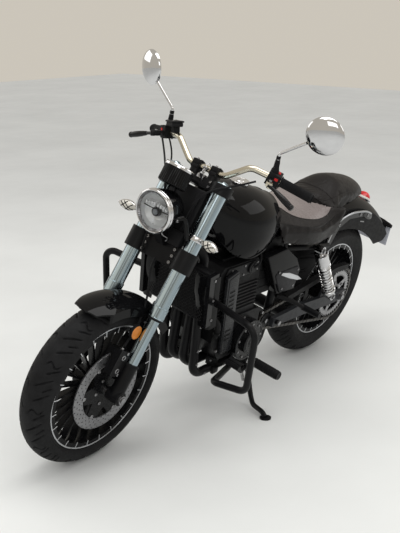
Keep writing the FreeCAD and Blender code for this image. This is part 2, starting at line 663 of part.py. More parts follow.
# the fender's front is swept back from its middle; columns are ahead of the front axle and left
frontSweep = [(116, 0), (97, 50), (40, 74), (40, 120), (220, 120), (220, -120), (40, -120), (40, -74),
              (97, -50)]
frontTrim = slab("front_trim", [(d.wheelBase + x, y) for x, y in frontSweep],
                 d.frontTyreRadius + 230, 140)
frontFenderTrimmed = less("front_fender_trimmed", frontFenderShell, frontTrim)
reflectorTabs = [block(f"reflector_tab{side}", 50, 10, 16, onFork(223, 34, side * (stayOut - 1)),
                       forkTurn) for side in (1, -1)]
node("front_fender", joined("front_fender", [frontFenderTrimmed] + stays + reflectorTabs))
reflectorIn = stayOut + 4 + d.seatGap
reflector = rod("reflector", "reflectorRadius", onFork(223, 42, reflectorIn),
                onFork(223, 42, reflectorIn + 9))
node("front_reflectors", bothSides("front_reflectors", reflector))

# Brake caliper: two halves over the front disc, ahead of the left leg
caliperBody = block("caliper_body", 54, 56, 92, onFork(108, d.footRadius + d.seatGap + 27, 72), forkTurn)
discGap = rod("caliper_gap", d.discRadius + 5, frontAxle + left * (discPlane - 7.5),
              frontAxle + left * (discPlane + 7.5))
node("brake_caliper", less("brake_caliper", caliperBody, discGap))

# Frame: head tube, backbone, cradle, rear posts and seat rails in one welded piece
headLow = d.lowerClampLow + d.lowerClampHeight + d.headGap
headHigh = d.upperClampLow - d.headGap
headTube = forkRod("head_tube", "headTubeRadius", headLow, headHigh, -d.clampOffset)
backboneStart = onFork(headLow + 95, -d.clampOffset)
backboneEnd = Vector(d.postAhead + 55, 0, 735)
backbone = rod("backbone", "backboneRadius", backboneStart, backboneEnd)
cradleCorner = Vector(cradleAhead, d.cradleSpread, d.cradleUp)
downTop = Vector(cradleAhead + 92, d.cradleSpread, 735)
headFoot = onFork(headLow + 22, -d.clampOffset, 12)
postTop = Vector(d.postAhead, d.cradleSpread, 672)
cradle = bent("cradle",
              [headFoot, downTop, cradleCorner, Vector(d.postAhead + 20, d.cradleSpread, d.cradleUp),
                         Vector(d.postAhead, d.cradleSpread, d.pivotUp), postTop,
                         backboneEnd + Vector(8, 10, 0)],
              "guardTube", 60)
railEnd = Vector(d.postAhead - 288, d.railSpread, 609)
seatRail = bent("seat_rail",
                [postTop + Vector(0, 0, -30), Vector(d.postAhead - 100, d.railSpread, 640), railEnd],
                "railRadius", 60)
shockTop = Vector(d.postAhead - 154, d.shockSpread, 636)
shockBoss = rod("shock_boss", 9, Vector(shockTop.x, d.railSpread, shockTop.z), shockTop + left * 18)
seatFloor = 712
seatPost = block("seat_post", 24, 16, 80,
                 Vector(d.postAhead - 100, d.railSpread - 6, seatFloor - d.seatGap - 40))
frameLeft = joined("frame_left", [cradle, seatRail, shockBoss, seatPost])
standAxis = Vector(0.1, 0.15, 0.98).normalize()
standTurn = Rotation(up, standAxis)
standPivot = Vector(d.postAhead + d.standGap, d.cradleSpread + d.guardTube + 5 + d.standEye, d.cradleUp - 8)
lugGap = 11.5
standLug = [
    rod("stand_pin", "standPin", standPivot - standAxis * (lugGap + 6),
        standPivot + standAxis * (lugGap + 6)),
    rod("stand_pin_head", 11, standPivot - standAxis * (lugGap + 6), standPivot - standAxis * lugGap),
    rod("stand_lug_plate", "standEye", standPivot + standAxis * lugGap,
        standPivot + standAxis * (lugGap + 8)),
    block("stand_lug_web", 26, 32, 8, standPivot + standTurn.multVec(Vector(0, -15, lugGap + 4)),
          standTurn),
]
frameBody = joined("frame_body", [headTube, backbone, frameLeft, mirrored(frameLeft)] + standLug)
frameHoles = joined("frame_holes", [
    forkRod("stem_hole", d.stemRadius + d.runningGap, headLow - 1, headHigh + 1, -d.clampOffset),
    rod("pivot_hole", d.pivotRadius + d.fitGap, Vector(d.postAhead, -200, d.pivotUp),
        Vector(d.postAhead, 200, d.pivotUp)),
])
node("main_frame", less("main_frame", frameBody, frameHoles))

# Swingarm on its pivot bolt, the rear axle and the shocks
pivot = Vector(d.postAhead, 0, d.pivotUp)
armOut = d.armSpread + d.armWidth / 2
armEnd = rearAxle + ahead * -45
armIn = d.armSpread - d.armWidth / 2
arms = prism("arm", [
    (pivot.x + 24, pivot.z - 20), (pivot.x + 24, pivot.z + 20), (300, pivot.z + 30), (40, rearAxle.z + 26),
    (armEnd.x, rearAxle.z + 22), (armEnd.x, rearAxle.z - 22), (40, rearAxle.z - 26), (300, pivot.z - 26),
], armIn, "armWidth")
shockLow = Vector(147, d.shockSpread, 376)
shockEar = rod("shock_ear", 9, Vector(shockLow.x, d.armSpread, shockLow.z), shockLow + left * 18)
shockPlate = prism("shock_plate", [(115, 340), (180, 340), (162, 389), (132, 389)], d.armSpread - 5, 10)
armHoles = joined("arm_holes", [
    rod("arm_axle_hole", d.rearAxleRadius + d.fitGap, rearAxle + left * (armIn - 1),
        rearAxle + left * (armOut + 1)),
    rod("arm_pivot_hole", d.pivotRadius + d.fitGap, pivot + left * (armIn - 1),
        pivot + left * (armOut + 1)),
])
armLeft = less("arm_left", joined("arm_side", [arms, shockEar, shockPlate]), armHoles)
node("swingarm", bothSides("swingarm", armLeft))
crossEnd = left * (armIn - d.seatGap)
crossMiddle = pivot - ahead * 100
node("swingarm_pivot", together("swingarm_pivot", [
    rod("cross_tube", 26, crossMiddle - crossEnd, crossMiddle + crossEnd),
    rod("pivot_bolt", "pivotRadius", pivot - left * (armOut + 12), pivot + left * (armOut + 12)),
]))
rearEnd = armOut + 14
rearShaft = joined("rear_shaft", [
    rod("rear_axle_bar", "rearAxleRadius", rearAxle - left * rearEnd, rearAxle + left * rearEnd),
    rod("rear_spacer_right", 17, rearAxle - left * (d.armSpread - d.armWidth / 2 - d.fitGap),
        rearAxle - left * (d.rearHubHalf + 10)),
    rod("rear_spacer_left", 17, rearAxle + left * (d.sprocketPlane + 4),
        rearAxle + left * (d.armSpread - d.armWidth / 2 - d.fitGap)),
    rod("rear_nut_left", 17, rearAxle + left * (armOut + d.fitGap), rearAxle + left * rearEnd),
    rod("rear_nut_right", 17, rearAxle - left * rearEnd, rearAxle - left * (armOut + d.fitGap)),
])
rearBore = rod("rear_axle_bore", "rearAxleBore", rearAxle - left * (rearEnd + 1),
               rearAxle + left * (rearEnd + 1))
node("rear_axle", less("rear_axle", rearShaft, rearBore))

shockSpan = (shockTop - shockLow).Length
shockWay = (shockTop - shockLow).normalize()


def onShock(distance, side=0):
    return shockLow + shockWay * distance + left * side


damper = joined("damper", [
    rod("damper_rod", "shockRadius", onShock(0), onShock(shockSpan)),
    rod("damper_cover", 28, onShock(shockSpan - 105), onShock(shockSpan - 22)),
    rod("damper_seat", 28, onShock(38), onShock(50)),
    rod("eye_low", 17, onShock(0, -16), onShock(0, 16)),
    rod("eye_high", 17, onShock(shockSpan, -16), onShock(shockSpan, 16)),
])
eyes = joined("shock_eyes", [
    rod("eye_low_hole", 9 + d.fitGap, onShock(0, -40), onShock(0, 40)),
    rod("eye_high_hole", 9 + d.fitGap, onShock(shockSpan, -40), onShock(shockSpan, 40)),
])
node("shock_bodies", bothSides("shock_bodies", less("damper_left", damper, eyes)))
springLow = 50 + d.seatGap
springHigh = shockSpan - 105 - d.seatGap
coils = 8
springPoints = []
for index in range(2 * coils + 1):
    share = index / (2 * coils)
    depth = 0 if index % 2 == 0 else 2 * d.springWire * 0.8
    springPoints.append((springLow + share * (springHigh - springLow), d.springRadius - depth))
springOutline = [onShock(at) + Vector(shockWay.z, 0, -shockWay.x) * width for at, width in springPoints]
springInner = [onShock(at) + Vector(shockWay.z, 0,
                                    -shockWay.x) * (d.shockRadius + d.seatGap) for at in (springHigh,
                                            springLow)]
springSide = turned("spring_left", outline("spring_profile", springOutline + springInner), onShock(0),
                    onShock(10) - onShock(0))
node("shock_springs", bothSides("shock_springs", springSide))

# Engine: crankcase, cylinders with slotted covers, round side covers
crank = [(engineBack, 300), (engineBack + 60, d.engineLow), (engineFront - 70, d.engineLow),
         (engineFront, 345),
         (engineFront, d.engineHigh), (engineBack + 70, d.engineHigh), (engineBack, 390)]
frontSprocket = Vector(engineBack - 3, d.sprocketPlane, 345)
sprocketRoom = block("output_room", 110, 60, 110, frontSprocket + left * 10)
output = rod("output_boss", d.frontSprocketRadius - d.seatGap,
             Vector(frontSprocket.x, 70, frontSprocket.z), frontSprocket + left * 9)
crankBlock = less("crank_block", prism("crank_outside", crank, -d.engineHalf, 2 * d.engineHalf),
                  sprocketRoom)
railTop = d.cradleUp + d.guardTube + d.seatGap
lugHeight = d.engineLow - railTop + 2
engineLugs = [
    block(f"engine_lug{x}{side}", 40, 30, lugHeight,
          Vector(x, side * d.cradleSpread, railTop + lugHeight / 2))
    for x in (engineBack + 85, engineFront - 80) for side in (1, -1)
]
node("crankcase", joined("crankcase", [crankBlock, output] + engineLugs))
head = [(engineBack + 95, d.engineHigh + d.seatGap), (engineFront - 8, d.engineHigh + d.seatGap),
        (engineFront + 25, d.headHigh - 20), (engineFront + 5, d.headHigh), (engineBack + 145, d.headHigh),
        (engineBack + 117, d.headHigh - 30)]
node("cylinders", prism("cylinders", head, -d.engineHalf + 8, 2 * (d.engineHalf - 8)))
slatMiddle = engineFront - 100
slat = [(slatMiddle - 28, 285), (slatMiddle + 42, 285), (slatMiddle + 105, 622), (slatMiddle + 45, 640),
        (slatMiddle + 38, 625)]
slatCover = prism("slat_cover", slat, d.engineHalf + d.seatGap, "slatDepth")
node("slotted_covers", bothSides("slotted_covers", slatCover))
coverMiddle = Vector(engineBack + 138, d.engineHalf + d.seatGap, 312)
cover = joined("engine_cover", [
    rod("cover_base", "coverRadius", coverMiddle, coverMiddle + left * d.coverDepth),
    rod("cover_cap", "capRadius", coverMiddle + left * (d.coverDepth - 1),
        coverMiddle + left * (d.coverDepth + d.capDepth)),
])
slatRoom = prism("slat_room", [(x - 6 if x < slatMiddle else x + 6, z - 6) for x, z in slat],
                 d.engineHalf - 5, 80)
node("engine_side_covers", bothSides("engine_side_covers", less("engine_cover_left", cover, slatRoom)))

# Radiator in front of the down tubes, with a shroud on each side
downWay = (downTop - cradleCorner).normalize()
downTurn = Rotation(up, Vector(downWay.x, 0, downWay.z))
radiatorMiddle = Vector(cradleCorner.x, 0, cradleCorner.z) + Vector(downWay.x, 0, downWay.z) * 400
radiatorMiddle += downTurn.multVec(ahead) * (d.guardTube + d.seatGap + d.radiatorDepth / 2)
node("radiator",
     block("radiator", "radiatorDepth", 2 * d.radiatorHalf, "radiatorHeight", radiatorMiddle, downTurn))
shroudOut = left * (d.radiatorHalf + d.shroudThickness / 2 + d.seatGap)
shroud = block("shroud", 46, "shroudThickness", "radiatorHeight",
               radiatorMiddle + shroudOut + downTurn.multVec(ahead) * 7, downTurn)
node("radiator_shrouds", bothSides("radiator_shrouds", shroud))

# Exhaust: two headers under the crankcase into a muffler on the right
mufflerStart = Vector(d.postAhead - 70, -d.mufflerSide, 288)
mufflerEnd = Vector(-130, -d.mufflerSide, 318)
mufflerWay = (mufflerEnd - mufflerStart).normalize()
headerFace = engineFront + 10.8
headerLow = railTop + 5.7
leftRoute = [(headerFace, 30, 540), (headerFace + 53, 30, 531.6), (headerFace + 39, 28, 262),
             (engineFront - 5, 28, headerLow),
             (engineFront - 140, 28, headerLow), (engineFront - 200, -18, headerLow)]
rightRoute = [(headerFace, -30, 540), (headerFace + 53, -30, 531.6), (headerFace + 39, -28, 262),
              (engineFront - 5, -28, headerLow), (d.postAhead + 200, -28, headerLow),
              (d.postAhead + 110, -34, 228),
              (d.postAhead + 40, -130, 268)]
headerLeft = bent("header_left", [Vector(*row) for row in leftRoute], "headerRadius", 60)
rightPoints = [Vector(*row) for row in rightRoute] + [mufflerStart - mufflerWay * 50,
                                                      mufflerStart - mufflerWay * d.seatGap]
headerRight = bent("header_right", rightPoints, "headerRadius", 60)
node("exhaust_headers", joined("exhaust_headers", [headerLeft, headerRight]))
node("muffler", rod("muffler", "mufflerRadius", mufflerStart, mufflerEnd))

# Tank: columns are ahead of the rear axle, half width, height of its lower edge and of its top
tankSections = [(along(1.12), 58, 812, 925), (along(0.97), 128, 730, 938), (along(0.716), 163, 694, 932),
                (along(0.543), 154, 700, 914), (along(0.439), 140, 708, 898), (along(0.3), 112, 728, 880)]


def tankWire(x, half, low, high):
    mid = low + (high - low) * 0.42
    corner = [Vector(x, half * 0.82, low), Vector(x, half, mid), Vector(x, 0, high), Vector(x, -half, mid),
              Vector(x, -half * 0.82, low)]
    bulge = [Vector(x, half * 0.97, (low + mid) / 2), Vector(x, half * 0.74, high - (high - mid) * 0.27)]
    other = [Vector(x, -bulge[1].y, bulge[1].z), Vector(x, -bulge[0].y, bulge[0].z)]
    return Part.Wire([
        Part.Arc(corner[0], bulge[0], corner[1]).toShape(),
        Part.Arc(corner[1], bulge[1], corner[2]).toShape(),
        Part.Arc(corner[2], other[0], corner[3]).toShape(),
        Part.Arc(corner[3], other[1], corner[4]).toShape(),
        Part.LineSegment(corner[4], corner[0]).toShape(),
    ])


tankShell = lofted("tank_shell", [tankWire(*row) for row in tankSections])
backboneWay = (backboneEnd - backboneStart).normalize()
tunnelTurn = Rotation(left, math.degrees(math.atan2(-backboneWay.z, backboneWay.x)) + 180)
tunnelLift = d.backboneRadius + d.seatGap - 120
tunnel = block("tank_tunnel", 700, 2 * (d.backboneRadius + 4), 240,
               (backboneStart + backboneEnd) / 2 + tunnelTurn.multVec(up) * tunnelLift, tunnelTurn)
# the tank's back is a leaning cylinder, and the rider's seat is fitted around it
tankEndTurn = Rotation(up, Vector(0.4375, 0, 1))
tankEndAt = Vector(along(0.67), 0, 865)


def tankEnd(name, gap):
    reach = tankEndTurn.multVec(up * 250)
    return rod(name, d.tankEndRadius + gap, tankEndAt - reach, tankEndAt + reach)


behindTank = less("behind_tank",
                  block("behind_tank_body", 400, 400, 500,
                        tankEndAt + tankEndTurn.multVec(Vector(-200, 0, 0)),
                                       tankEndTurn), tankEnd("tank_end", 0))
node("fuel_tank", less("fuel_tank", tankShell, joined("tank_rooms", [tunnel, behindTank])))
capAt = along(0.68)
tankCap = rod("tank_cap_body", 34, Vector(capAt, 0, 900), Vector(capAt, 0, 942))
tankTop = lofted("tank_top",
                 [tankWire(x, half, low, high + d.seatGap) for x, half, low, high in tankSections])
node("tank_cap", less("tank_cap", tankCap, tankTop))

# Seats: columns are ahead, half width, heights of the underside, of the side's brow and of the top


def padWire(x, half, low, brow, high):
    points = [Vector(x, half * 0.9, low), Vector(x, half, brow), Vector(x, 0, high), Vector(x, -half, brow),
              Vector(x, -half * 0.9, low)]
    crown = Vector(x, half * 0.66, high - (high - brow) * 0.36)
    return Part.Wire([
        Part.LineSegment(points[0], points[1]).toShape(), Part.Arc(points[1], crown, points[2]).toShape(),
        Part.Arc(points[2], Vector(x, -crown.y, crown.z), points[3]).toShape(),
        Part.LineSegment(points[3], points[4]).toShape(), Part.LineSegment(points[4], points[0]).toShape(),
    ])


riderRows = [
    (along(0.559), 148, 716, 812, 903), (along(0.439), 140, 712, 806, 882),
    (along(0.323), 138, 704, 796, 856),
    (along(0.185), 146, 694, 782, 828), (d.postAhead, 162, 676, 764, 806),
    (d.postAhead - 100, 167, 656, 756, 800),
    (d.postAhead - 210, 162, 666, 780, 824), (d.postAhead - 326, 150, 700, 778, 834),
]
seatRooms = joined("seat_rooms", [
    block("seat_room", 300, 260, 120, Vector(d.postAhead - 120, 0, seatFloor - 60)),
    prism("seat_tunnel",
          [(d.postAhead - 20, 640), (d.postAhead - 20, 764), (d.postAhead + 60, 764), (along(0.6), 808),
                          (along(0.6), 640)], -97, 194),
    tankEnd("tank_end_room", d.seatGap),
    block("tank_room", 400, 500, 500, tankEndAt + tankEndTurn.multVec(Vector(200, 0, 0)), tankEndTurn),
    rod("pillion_room", d.seamRadius + d.seatGap, Vector(d.seamAhead, 0, 600),
        Vector(d.seamAhead, 0, 1000)),
])
node("rider_seat", less("rider_seat", lofted("rider_pad", [padWire(*row) for row in riderRows]), seatRooms))
pillionRows = [(345, 150, 738, 786, 846), (262, 144, 736, 788, 856), (200, 120, 748, 806, 866),
               (90, 98, 752, 800, 864),
               (-30, 78, 744, 780, 836), (-128, 44, 728, 752, 786)]
fenderRoom = fender("fender_room", fenderCentre, d.fenderRadius + d.seatGap, d.fenderHalf + d.seatGap,
                    d.fenderSkirt, 50, fenderLead + 1, fenderLead + 1 + fenderTail, crownFall)
aheadOfSeam = less("ahead_of_seam",
                   block("ahead_of_seam_body", 300, 500, 400, Vector(d.seamAhead + 150, 0, 800)),
                   rod("seam_front", "seamRadius", Vector(d.seamAhead, 0, 500),
                       Vector(d.seamAhead, 0, 1100)))
node("pillion_seat",
     less("pillion_seat", lofted("pillion_pad", [padWire(*row) for row in pillionRows]),
                          joined("pillion_rooms", [aheadOfSeam, fenderRoom])))

# Rear fender, its struts, the tail lamp and what hangs behind
rearFenderShell = fender("rear_fender_shell", fenderCentre, d.fenderRadius, d.fenderHalf, d.fenderSkirt,
                         d.fenderWall, fenderLead, fenderLead + fenderTail, crownFall)
tailEnd = fenderCentre + Rotation(left, -fenderTail).multVec(up * d.fenderRadius)
underTail = block("under_tail", 250, 240, 60, tailEnd + Vector(37, 0, -90))
node("rear_fender", less("rear_fender", rearFenderShell, underTail))
strutCorners = [(209.5, 594), (209.5, 622), (165, 702), (66, 728), (-60, 716), (-125, 694), (-125, 676),
                (-60, 690),
                (66, 700), (140, 672), (185, 594)]
node("fender_struts",
     bothSides("fender_struts", prism("fender_strut", strutCorners, d.fenderHalf + d.seatGap, 12)))
lampTurn = Rotation(left, -27.5)
lampSeat = fenderCentre + lampTurn.multVec(up * (d.fenderRadius + d.seatGap))
node("tail_light", block("tail_light", 44, 64, 36, lampSeat + lampTurn.multVec(up * 18), lampTurn))
bracketDepth = 14
bracketX = tailEnd.x - d.seatGap
bracketPlate = block("bracket_plate", bracketDepth, 130, 80,
                     Vector(bracketX - bracketDepth / 2, 0, tailEnd.z - 41))
lipCorners = [(bracketX, -60), (bracketX, 60), (bracketX - 6, 97), (bracketX - 22, 76),
              (bracketX - 34, 28), (bracketX - 34, -28), (bracketX - 22, -76), (bracketX - 6, -97)]
bracketLip = slab("bracket_lip", lipCorners, tailEnd.z - 10, 15)
node("plate_bracket", joined("plate_bracket", [bracketPlate, bracketLip]))
plateMiddle = Vector(bracketX - bracketDepth - d.seatGap - 1.5, 0, tailEnd.z - 58)
plate = block("plate_blank", 3, 2 * d.plateHalf, "plateHeight", plateMiddle)
plateHoles = [rod(f"plate_hole{side}", 3.5, plateMiddle + Vector(-5, side * 50, 12),
                  plateMiddle + Vector(5, side * 50, 12))
              for side in (1, -1)]
node("number_plate", less("number_plate", plate, joined("plate_holes", plateHoles)))

# Side covers under the seat
sideCorners = [(d.postAhead + x, z) for x,
               z in ((190, 664), (60, 478), (-64, 470), (-75, 560), (-30, 616), (60, 676))]
node("side_covers",
     bothSides("side_covers",
               prism("side_cover", sideCorners, d.cradleSpread + d.guardTube + d.seatGap, 44)))

# Crash bars: columns are ahead of the cradle's front corner, left, up
crashRoute = [(46, 0, 560), (106, d.crashReach, 570), (52, d.crashReach - 12, 298), (52, 205, 262),
              (-193, 0, 189)]
crashPoints = [Vector(cradleAhead + x, y, z) for x, y, z in crashRoute]
crashPoints[0].y = d.cradleSpread + d.guardTube - 4
crashPoints[-1].y = d.cradleSpread + d.guardTube + d.crashTube
guardRoom = joined("guard_room", [
    rod("guard_room_down", d.guardTube + d.fitGap, cradleCorner, downTop),
    rod("guard_room_low", d.guardTube + d.fitGap, cradleCorner,
        Vector(d.postAhead, d.cradleSpread, d.cradleUp)),
])
crashLeft = less("crash_bar", bent("crash_tube", crashPoints, "crashTube", 42), guardRoom)
node("crash_bars", bothSides("crash_bars", crashLeft))

# Rider's pegs and pedals, passenger's pegs
pegAhead = d.postAhead + d.pegGap
pegRoot = Vector(pegAhead, 190, d.pegUp)
pegBody = joined("peg_body", [
    rod("peg_rubber", "pegRadius", pegRoot, Vector(pegAhead, d.pegReach, d.pegUp)),
    bent("peg_arm",
         [Vector(pegAhead - 30, d.cradleSpread + d.guardTube + 3, d.cradleUp),
          Vector(pegAhead - 10, 170, 208), Vector(pegAhead, 196, 250)], 10, 25),
    bent("pedal_arm",
         [Vector(pegAhead - 10, 176, 224), Vector(pegAhead + 60, 190, 226),
          Vector(pegAhead + 160, 186, 300)], 6, 20),
    rod("pedal_toe", 10, Vector(pegAhead + 160, 176, 300), Vector(pegAhead + 160, 240, 300)),
])
node("rider_pegs", bothSides("rider_pegs", pegBody))
backPegAt = Vector(d.postAhead - 95, 178, 400)
backPeg = joined("back_peg", [
    rod("back_peg_rubber", 13, backPegAt, backPegAt + left * 84),
    bent("back_peg_arm",
         [Vector(postTop.x - 4, d.cradleSpread + d.guardTube + 5, 440), backPegAt + Vector(35, -28, 20),
                          backPegAt + left * 12], 9, 20),
])
node("passenger_pegs", bothSides("passenger_pegs", backPeg))

# Chain and its guard
chainInnerRear = d.sprocketRadius + d.chainGap
rearSprocketAt = rearAxle + left * d.sprocketPlane


def chainLoop(name, rearRadius, frontRadius, half):
    span = (frontSprocket - rearSprocketAt)
    tilt = math.degrees(math.asin((rearRadius - frontRadius) / span.Length))
    way = math.degrees(math.atan2(span.z, span.x))
    def at(centre, radius, angle):
        return centre + Vector(math.cos(math.radians(angle)), 0, math.sin(math.radians(angle))) * radius
    high = way + 90 - tilt
    low = way - 90 + tilt
    edges = [
        Part.LineSegment(at(rearSprocketAt, rearRadius, high),
                         at(frontSprocket, frontRadius, high)).toShape(),
        Part.Arc(at(frontSprocket, frontRadius, high), at(frontSprocket, frontRadius, way),
                 at(frontSprocket, frontRadius, low)).toShape(),
        Part.LineSegment(at(frontSprocket, frontRadius, low),
                         at(rearSprocketAt, rearRadius, low)).toShape(),
        Part.Arc(at(rearSprocketAt, rearRadius, low), at(rearSprocketAt, rearRadius, way + 180),
                 at(rearSprocketAt, rearRadius, high)).toShape(),
    ]
    holder = doc.addObject("Part::Feature", name + "_outline")
    wire = Part.Wire(edges)
    wire.translate(left * -half)
    holder.Shape = wire
    piece = doc.addObject("Part::Extrusion", name)
    piece.Base = holder
    piece.Dir = left
    piece.LengthFwd = 2 * half
    piece.Solid = True
    return piece


chainOutside = chainLoop("chain_outside", chainInnerRear + d.chainThickness,
                         d.frontSprocketRadius + d.chainThickness, d.chainWidth / 2)
chainInside = chainLoop("chain_inside", chainInnerRear, d.frontSprocketRadius, d.chainWidth)
node("chain", less("chain", chainOutside, chainInside))
# columns are ahead and up; the guard's side plate hangs from its roof and stands on the arm by two tabs
guardEdge = [(-40, 466), (60, 472), (300, 443), (d.postAhead - 70, 425)]
guardRoof = prism("guard_roof", guardEdge + [(x, z - 4) for x, z in reversed(guardEdge)], 90, 25)
guardSide = prism("guard_side", guardEdge + [(x, z - 24) for x, z in reversed(guardEdge)], 113, 3)
guardTabs = [
    prism("guard_tab_back", [(70, 351.4), (96, 353), (96, 460), (70, 460)], 113, 3),
    prism("guard_tab_front", [(270, 363.8), (296, 365.4), (296, 430), (270, 430)], 113, 3),
]
node("chain_guard", joined("chain_guard", [guardRoof, guardSide] + guardTabs))

# Side stand: its leg runs from a lug on the left lower rail to a foot that lies flat on the floor


def tyreLow(turn, axle, radius, crown, shift):
    across = turn.multVec(left).z
    return turn.multVec(axle).z - (radius - crown) * math.sqrt(1 - across * across) - crown + shift


lean = Rotation(ahead, -d.leanAngle)
pitch = 0
for attempt in range(20):
    stanceTurn = lean.multiply(Rotation(left, pitch))
    rearLow = tyreLow(stanceTurn, rearAxle, d.rearTyreRadius, d.rearCrown, 0)
    frontLow = tyreLow(stanceTurn, frontAxle, d.frontTyreRadius, d.frontCrown, 0)
    pitch += math.degrees((frontLow - rearLow) / d.wheelBase)
stance = Placement(Vector(-d.originAhead, -d.originLeft, -rearLow), stanceTurn)
floorUp = stanceTurn.inverted().multVec(up)
footAt = stance.inverse().multVec(Vector(d.standFootAhead - d.originAhead, d.standFootLeft - d.originLeft,
                                         0))
print("pitch", round(pitch, 4), "foot in the upright frame", footAt)
ankle = footAt + floorUp * d.footPadHeight
foot = rod("stand_foot", "footPadRadius", footAt, ankle)
legOffsets = [(7, 12, -1), (18, 44, -16), (29, 86, -96), (60, 126, -113)]
legPoints = [standPivot + Vector(*row) for row in legOffsets] + [ankle + Vector(-8, -24, 7),
        ankle - floorUp]
leg = bent("stand_leg", legPoints, "standRadius", 60)
eye = rod("stand_eye", "standEye", standPivot - standAxis * 11, standPivot + standAxis * 11)
eyeHole = rod("stand_eye_hole", d.standPin + d.fitGap, standPivot - standAxis * 13,
              standPivot + standAxis * 13)
soleRoom = block("stand_sole_room", 200, 200, 100, footAt - floorUp * 50, stanceTurn.inverted())
node("side_stand",
     less("side_stand", less("stand_body", joined("stand_joined", [foot, leg, eye]), eyeHole), soleRoom))

# The whole machine leans onto its stand
doc.recompute()
for name, piece in nodes.items():
    piece.Placement = stance.multiply(piece.Placement)
doc.recompute()
faults = [item.Label for item in doc.Objects if "Invalid" in item.State or "Error" in item.State]
for name, piece in nodes.items():
    if piece.Shape.isNull() or not piece.Shape.isValid():
        faults.append(name)
if faults:
    raise RuntimeError("faults in " + ", ".join(faults))
os.makedirs("parts", exist_ok=True)
whole = FreeCAD.BoundBox()
for name, piece in nodes.items():
    piece.Shape.exportStep(f"parts/{name}.step")
    whole.add(piece.Shape.BoundBox)
    print(name, len(piece.Shape.Solids), round(piece.Shape.Volume / 1000), "cm3")
print("box", whole, "nodes", len(nodes))
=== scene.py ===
import json
import math
import bmesh
import bpy
from mathutils import Matrix, Vector
from mathutils.bvhtree import BVHTree


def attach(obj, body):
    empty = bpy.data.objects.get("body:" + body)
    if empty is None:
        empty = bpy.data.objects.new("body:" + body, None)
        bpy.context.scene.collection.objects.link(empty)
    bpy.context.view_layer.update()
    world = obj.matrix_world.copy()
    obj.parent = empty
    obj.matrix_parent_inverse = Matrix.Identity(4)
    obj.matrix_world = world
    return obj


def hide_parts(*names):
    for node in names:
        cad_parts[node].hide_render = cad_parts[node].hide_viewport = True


# A black cruiser motorcycle leaning on its side stand. Lengths below are in millimetres on the
# upright machine: X ahead from the rear axle, Y to the rider's left, Z up from the floor.
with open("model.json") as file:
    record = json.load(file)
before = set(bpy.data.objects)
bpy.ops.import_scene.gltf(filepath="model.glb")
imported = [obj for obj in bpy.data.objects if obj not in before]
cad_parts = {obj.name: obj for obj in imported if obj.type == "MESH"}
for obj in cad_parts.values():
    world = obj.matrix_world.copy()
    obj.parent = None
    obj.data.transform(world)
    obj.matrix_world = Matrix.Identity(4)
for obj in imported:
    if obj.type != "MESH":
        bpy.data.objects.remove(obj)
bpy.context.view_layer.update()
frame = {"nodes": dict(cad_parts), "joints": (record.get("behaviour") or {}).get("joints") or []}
scene = bpy.context.scene
print("frame loaded:", len(frame["nodes"]), "nodes")

# The stance: where the upright machine stands in the shared frame
joints = {joint["name"]: joint for joint in frame["joints"]}
leftWay = Vector(joints["rear_wheel_axle"]["axis"]).normalized()
rearPlace = Vector(joints["rear_wheel_axle"]["pos_m"])
frontPlace = Vector(joints["front_wheel_axle"]["pos_m"])
machine = {"wheelBase": 1400, "rearAxleHigh": 323, "frontAxleHigh": 300, "rake": 27.2}
axleDrop = math.atan2(machine["rearAxleHigh"] - machine["frontAxleHigh"], machine["wheelBase"])
axleLine = (frontPlace - rearPlace).normalized()
axleUp = axleLine.cross(leftWay)
aheadWay = axleLine * math.cos(axleDrop) + axleUp * math.sin(axleDrop)
upWay = axleUp * math.cos(axleDrop) - axleLine * math.sin(axleDrop)
mm = 0.001
footPlace = rearPlace - upWay * machine["rearAxleHigh"] * mm
stance = Matrix([[aheadWay[k] * mm, leftWay[k] * mm, upWay[k] * mm, footPlace[k]] for k in range(3)]
                + [[0, 0, 0, 1]])
unstance = stance.inverted()

ahead, left, up = Vector((1, 0, 0)), Vector((0, 1, 0)), Vector((0, 0, 1))
rearAxle = Vector((0, 0, machine["rearAxleHigh"]))
frontAxle = Vector((machine["wheelBase"], 0, machine["frontAxleHigh"]))
rake = math.radians(machine["rake"])
forkUp = Vector((-math.sin(rake), 0, math.cos(rake)))
forkAhead = Vector((math.cos(rake), 0, math.sin(rake)))
forkTurn = Matrix.Rotation(-rake, 3, "Y")
mirrored = Matrix.Diagonal((1, -1, 1))
sides = ((1, "Left"), (-1, "Right"))


def onFork(height, forward=0.0, side=0.0):
    # a place on the fork: up along it from the front axle, ahead of it, and to the left
    return frontAxle + forkUp * height + forkAhead * forward + left * side


def sided(point, side):
    return Vector((point[0], point[1] * side, point[2]))


def spoke(turn):
    # a unit way across the wheels' axles, turned up from straight ahead
    return Vector((math.cos(turn), 0, math.sin(turn)))


def turnsOf(count, shift=0.0):
    # evenly spaced angles of a full turn
    return [2 * math.pi * (step + shift) / count for step in range(count)]


# Camera, floor and light
view = {"place": (2.7926, 1.9209, 1.4999), "azimuth": 128.7, "down": 15.62, "roll": 0.28, "lens": 82.27}


def makeCamera():
    azimuth, down = math.radians(view["azimuth"]), math.radians(view["down"])
    back = Vector((math.sin(azimuth) * math.cos(down), -math.cos(azimuth) * math.cos(down), math.sin(down)))
    right = Vector((0, 0, 1)).cross(back).normalized()
    top = back.cross(right)
    roll = math.radians(view["roll"])
    right, top = right * math.cos(roll) + top * math.sin(roll), top * math.cos(roll) - right * math.sin(roll)
    data = bpy.data.cameras.new("photoCamera")
    data.lens = view["lens"]
    data.sensor_fit = "HORIZONTAL"
    data.sensor_width = 36
    camera = bpy.data.objects.new("photoCamera", data)
    scene.collection.objects.link(camera)
    camera.matrix_world = Matrix([[right[k], top[k], back[k], view["place"][k]] for k in range(3)]
                                 + [[0, 0, 0, 1]])
    scene.camera = camera


makeCamera()

